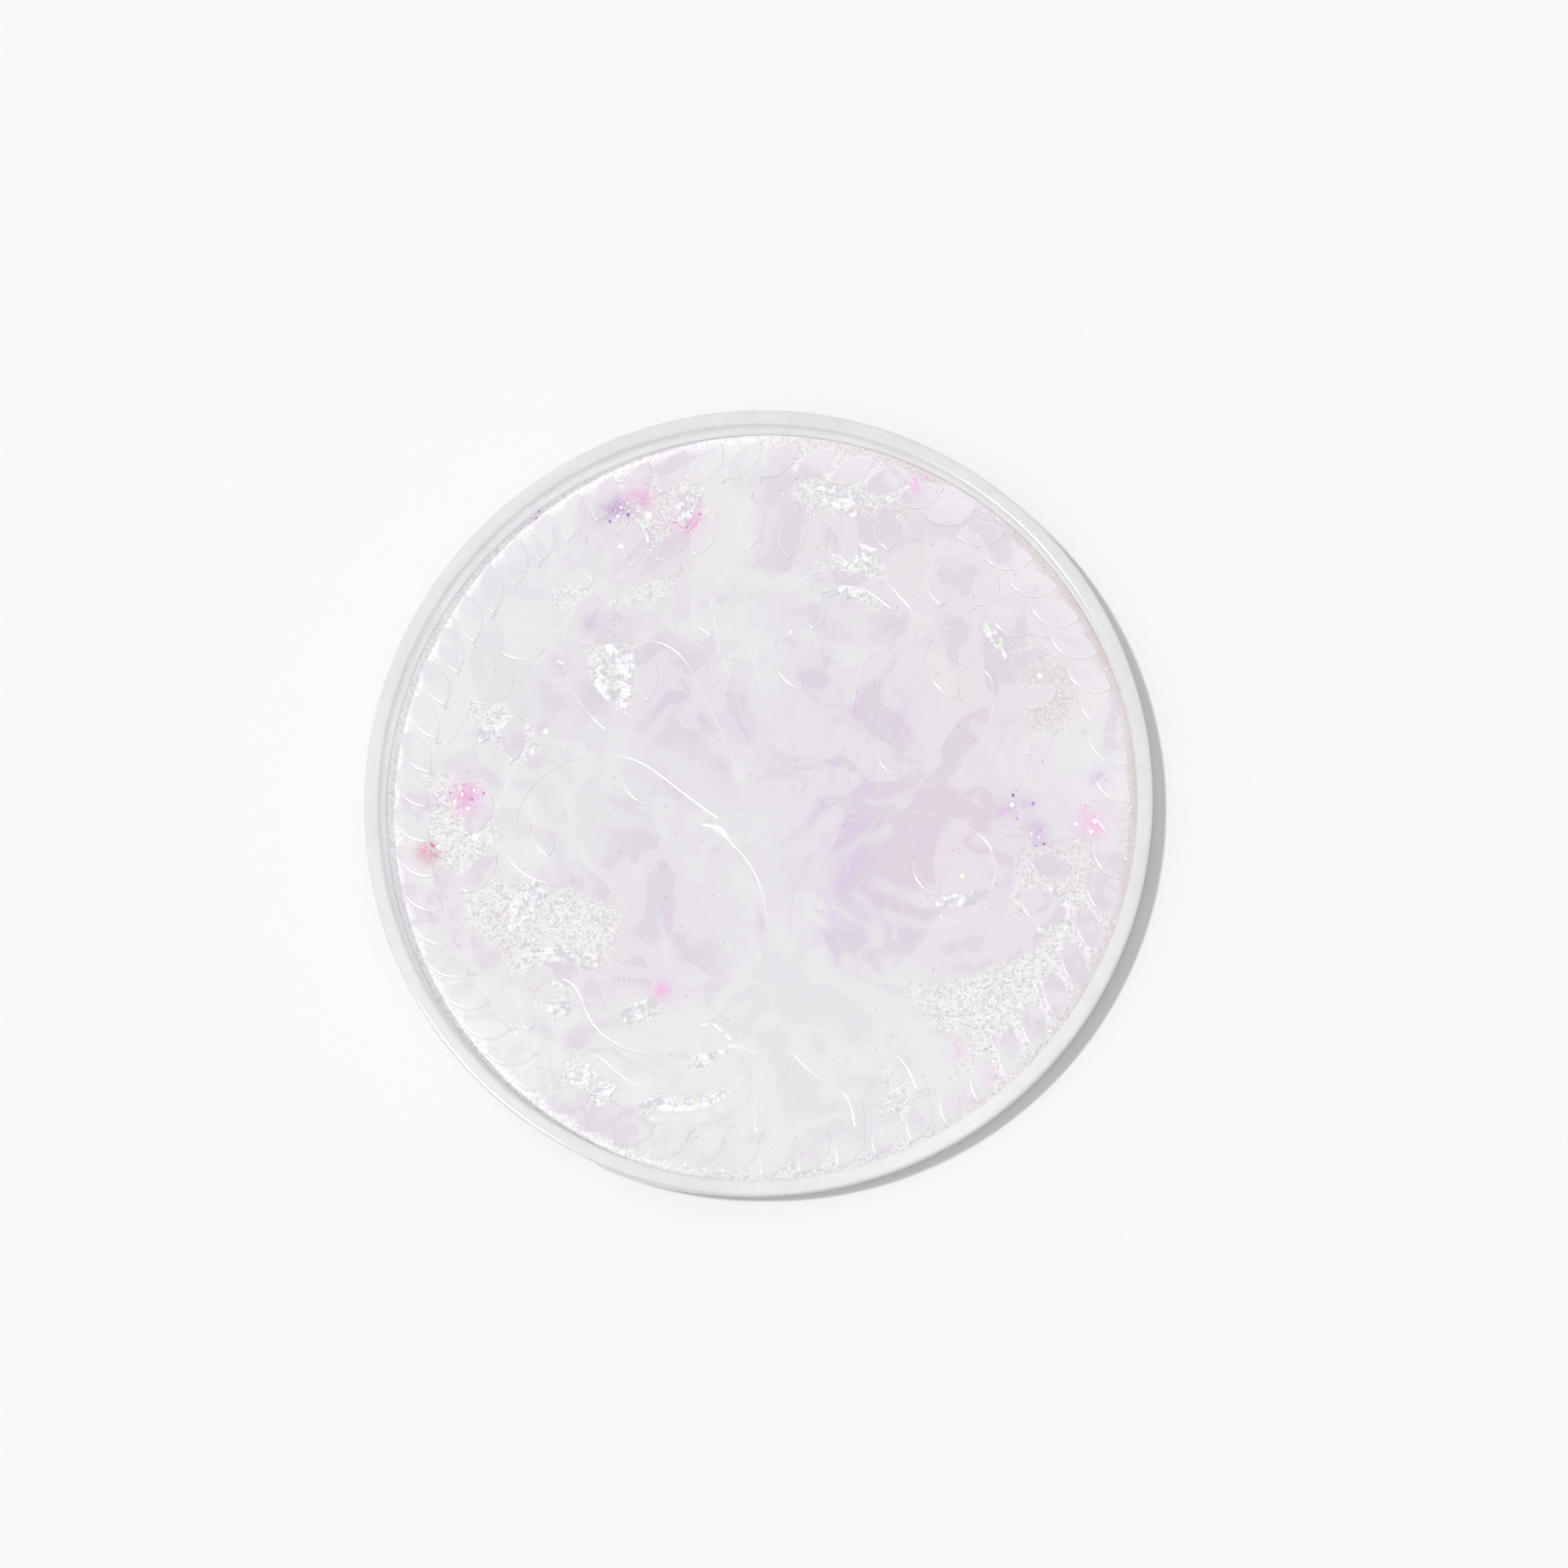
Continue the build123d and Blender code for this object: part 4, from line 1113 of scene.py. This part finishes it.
silver = metallised_glitter("silver_glitter", "#FCFBFC", "#E4E1E9", 0.25, metal=0.3)
disc_specks = specks(in_windows(DISC_SPECKS, 11), DISC_SPECK, 13)
rim_specks = specks(in_rim(RIM_SPECKS, 12), RIM_SPECK, 14)
piece("silver_glitter_disc", disc_specks, silver, smooth=False)
piece("silver_glitter_rim", rim_specks, silver, smooth=False)
piece("leaf_tip_bubbles", bubbles(*bubble_centres()), air_bubble())

# ---- stage, light and camera ----------------------------------------------------------------------------
FOCUS = Vector((3.3, 2.3, 6.0)) * MM          # what the middle of the picture looks at
CAMERA_TILT = radians(8.6)                    # from straight down
CAMERA_SIDE = radians(-60.0)                  # the way the camera stands off, from +X
CAMERA_AWAY = 0.75
FRAME_WIDTH = 0.1988                          # what the picture spans at the focus, in metres


def stage():
    """A pale matt sheet with a faint tooth."""
    bpy.ops.mesh.primitive_plane_add(size=4.0, location=(0, 0, 0))
    sheet = bpy.context.object
    sheet.name = "pale_sheet"
    material, tree = new_material("white_card")
    place = millimetres(tree)
    colour = blend_colours(tree, noise(tree, place, 1.2, 2.0), "#F4F4F4", "#F2F2F2")
    show(tree, principled(tree, {"Base Color": colour, "Roughness": 0.9, "Specular IOR Level": 0.1}))
    sheet.data.materials.append(material)


def lights():
    """A small key high on the left for the crisp shadow, and an even white room for the rest."""
    key = bpy.data.lights.new("key", "SUN")
    key.energy = 1.45
    key.angle = radians(2.5)
    key.color = (1.0, 0.99, 0.97)
    holder = bpy.data.objects.new("key", key)
    bpy.context.scene.collection.objects.link(holder)
    flat = cos(LIGHT_ELEVATION)
    toward = Vector((flat * cos(LIGHT_AZIMUTH), flat * sin(LIGHT_AZIMUTH), sin(LIGHT_ELEVATION)))
    holder.rotation_euler = toward.to_track_quat("Z", "Y").to_euler()
    world = bpy.data.worlds.new("white_room")
    bpy.context.scene.world = world
    world.use_nodes = True
    tree = world.node_tree
    tree.nodes.clear()
    direction = add(tree, "ShaderNodeTexCoord").outputs["Generated"]
    up = add(tree, "ShaderNodeSeparateXYZ", {"Vector": direction}).outputs["Z"]
    colour = blend_colours(tree, stretched(tree, up, 0.0, 0.9), "#EDEEF0", "#FFFFFF")
    backdrop = add(tree, "ShaderNodeBackground", {"Color": colour, "Strength": 0.64}).outputs[0]
    add(tree, "ShaderNodeOutputWorld", {"Surface": backdrop})


def camera():
    """Nearly overhead, stood off a little to the lower right, with +Y up in the picture."""
    lens = bpy.data.cameras.new("camera")
    off = sin(CAMERA_TILT)
    toward = Vector((off * cos(CAMERA_SIDE), off * sin(CAMERA_SIDE), cos(CAMERA_TILT)))
    right = Vector((0, 1, 0)).cross(toward).normalized()
    up = toward.cross(right)
    lens.sensor_width = 36.0
    lens.lens = 36.0 * CAMERA_AWAY / FRAME_WIDTH
    lens.clip_start, lens.clip_end = 0.01, 10.0
    holder = bpy.data.objects.new("camera", lens)
    bpy.context.scene.collection.objects.link(holder)
    holder.matrix_world = Matrix((right, up, toward)).transposed().to_4x4()
    holder.matrix_world.translation = FOCUS + toward * CAMERA_AWAY
    bpy.context.scene.camera = holder


stage()
lights()
camera()
bpy.context.scene.view_settings.view_transform = "Standard"
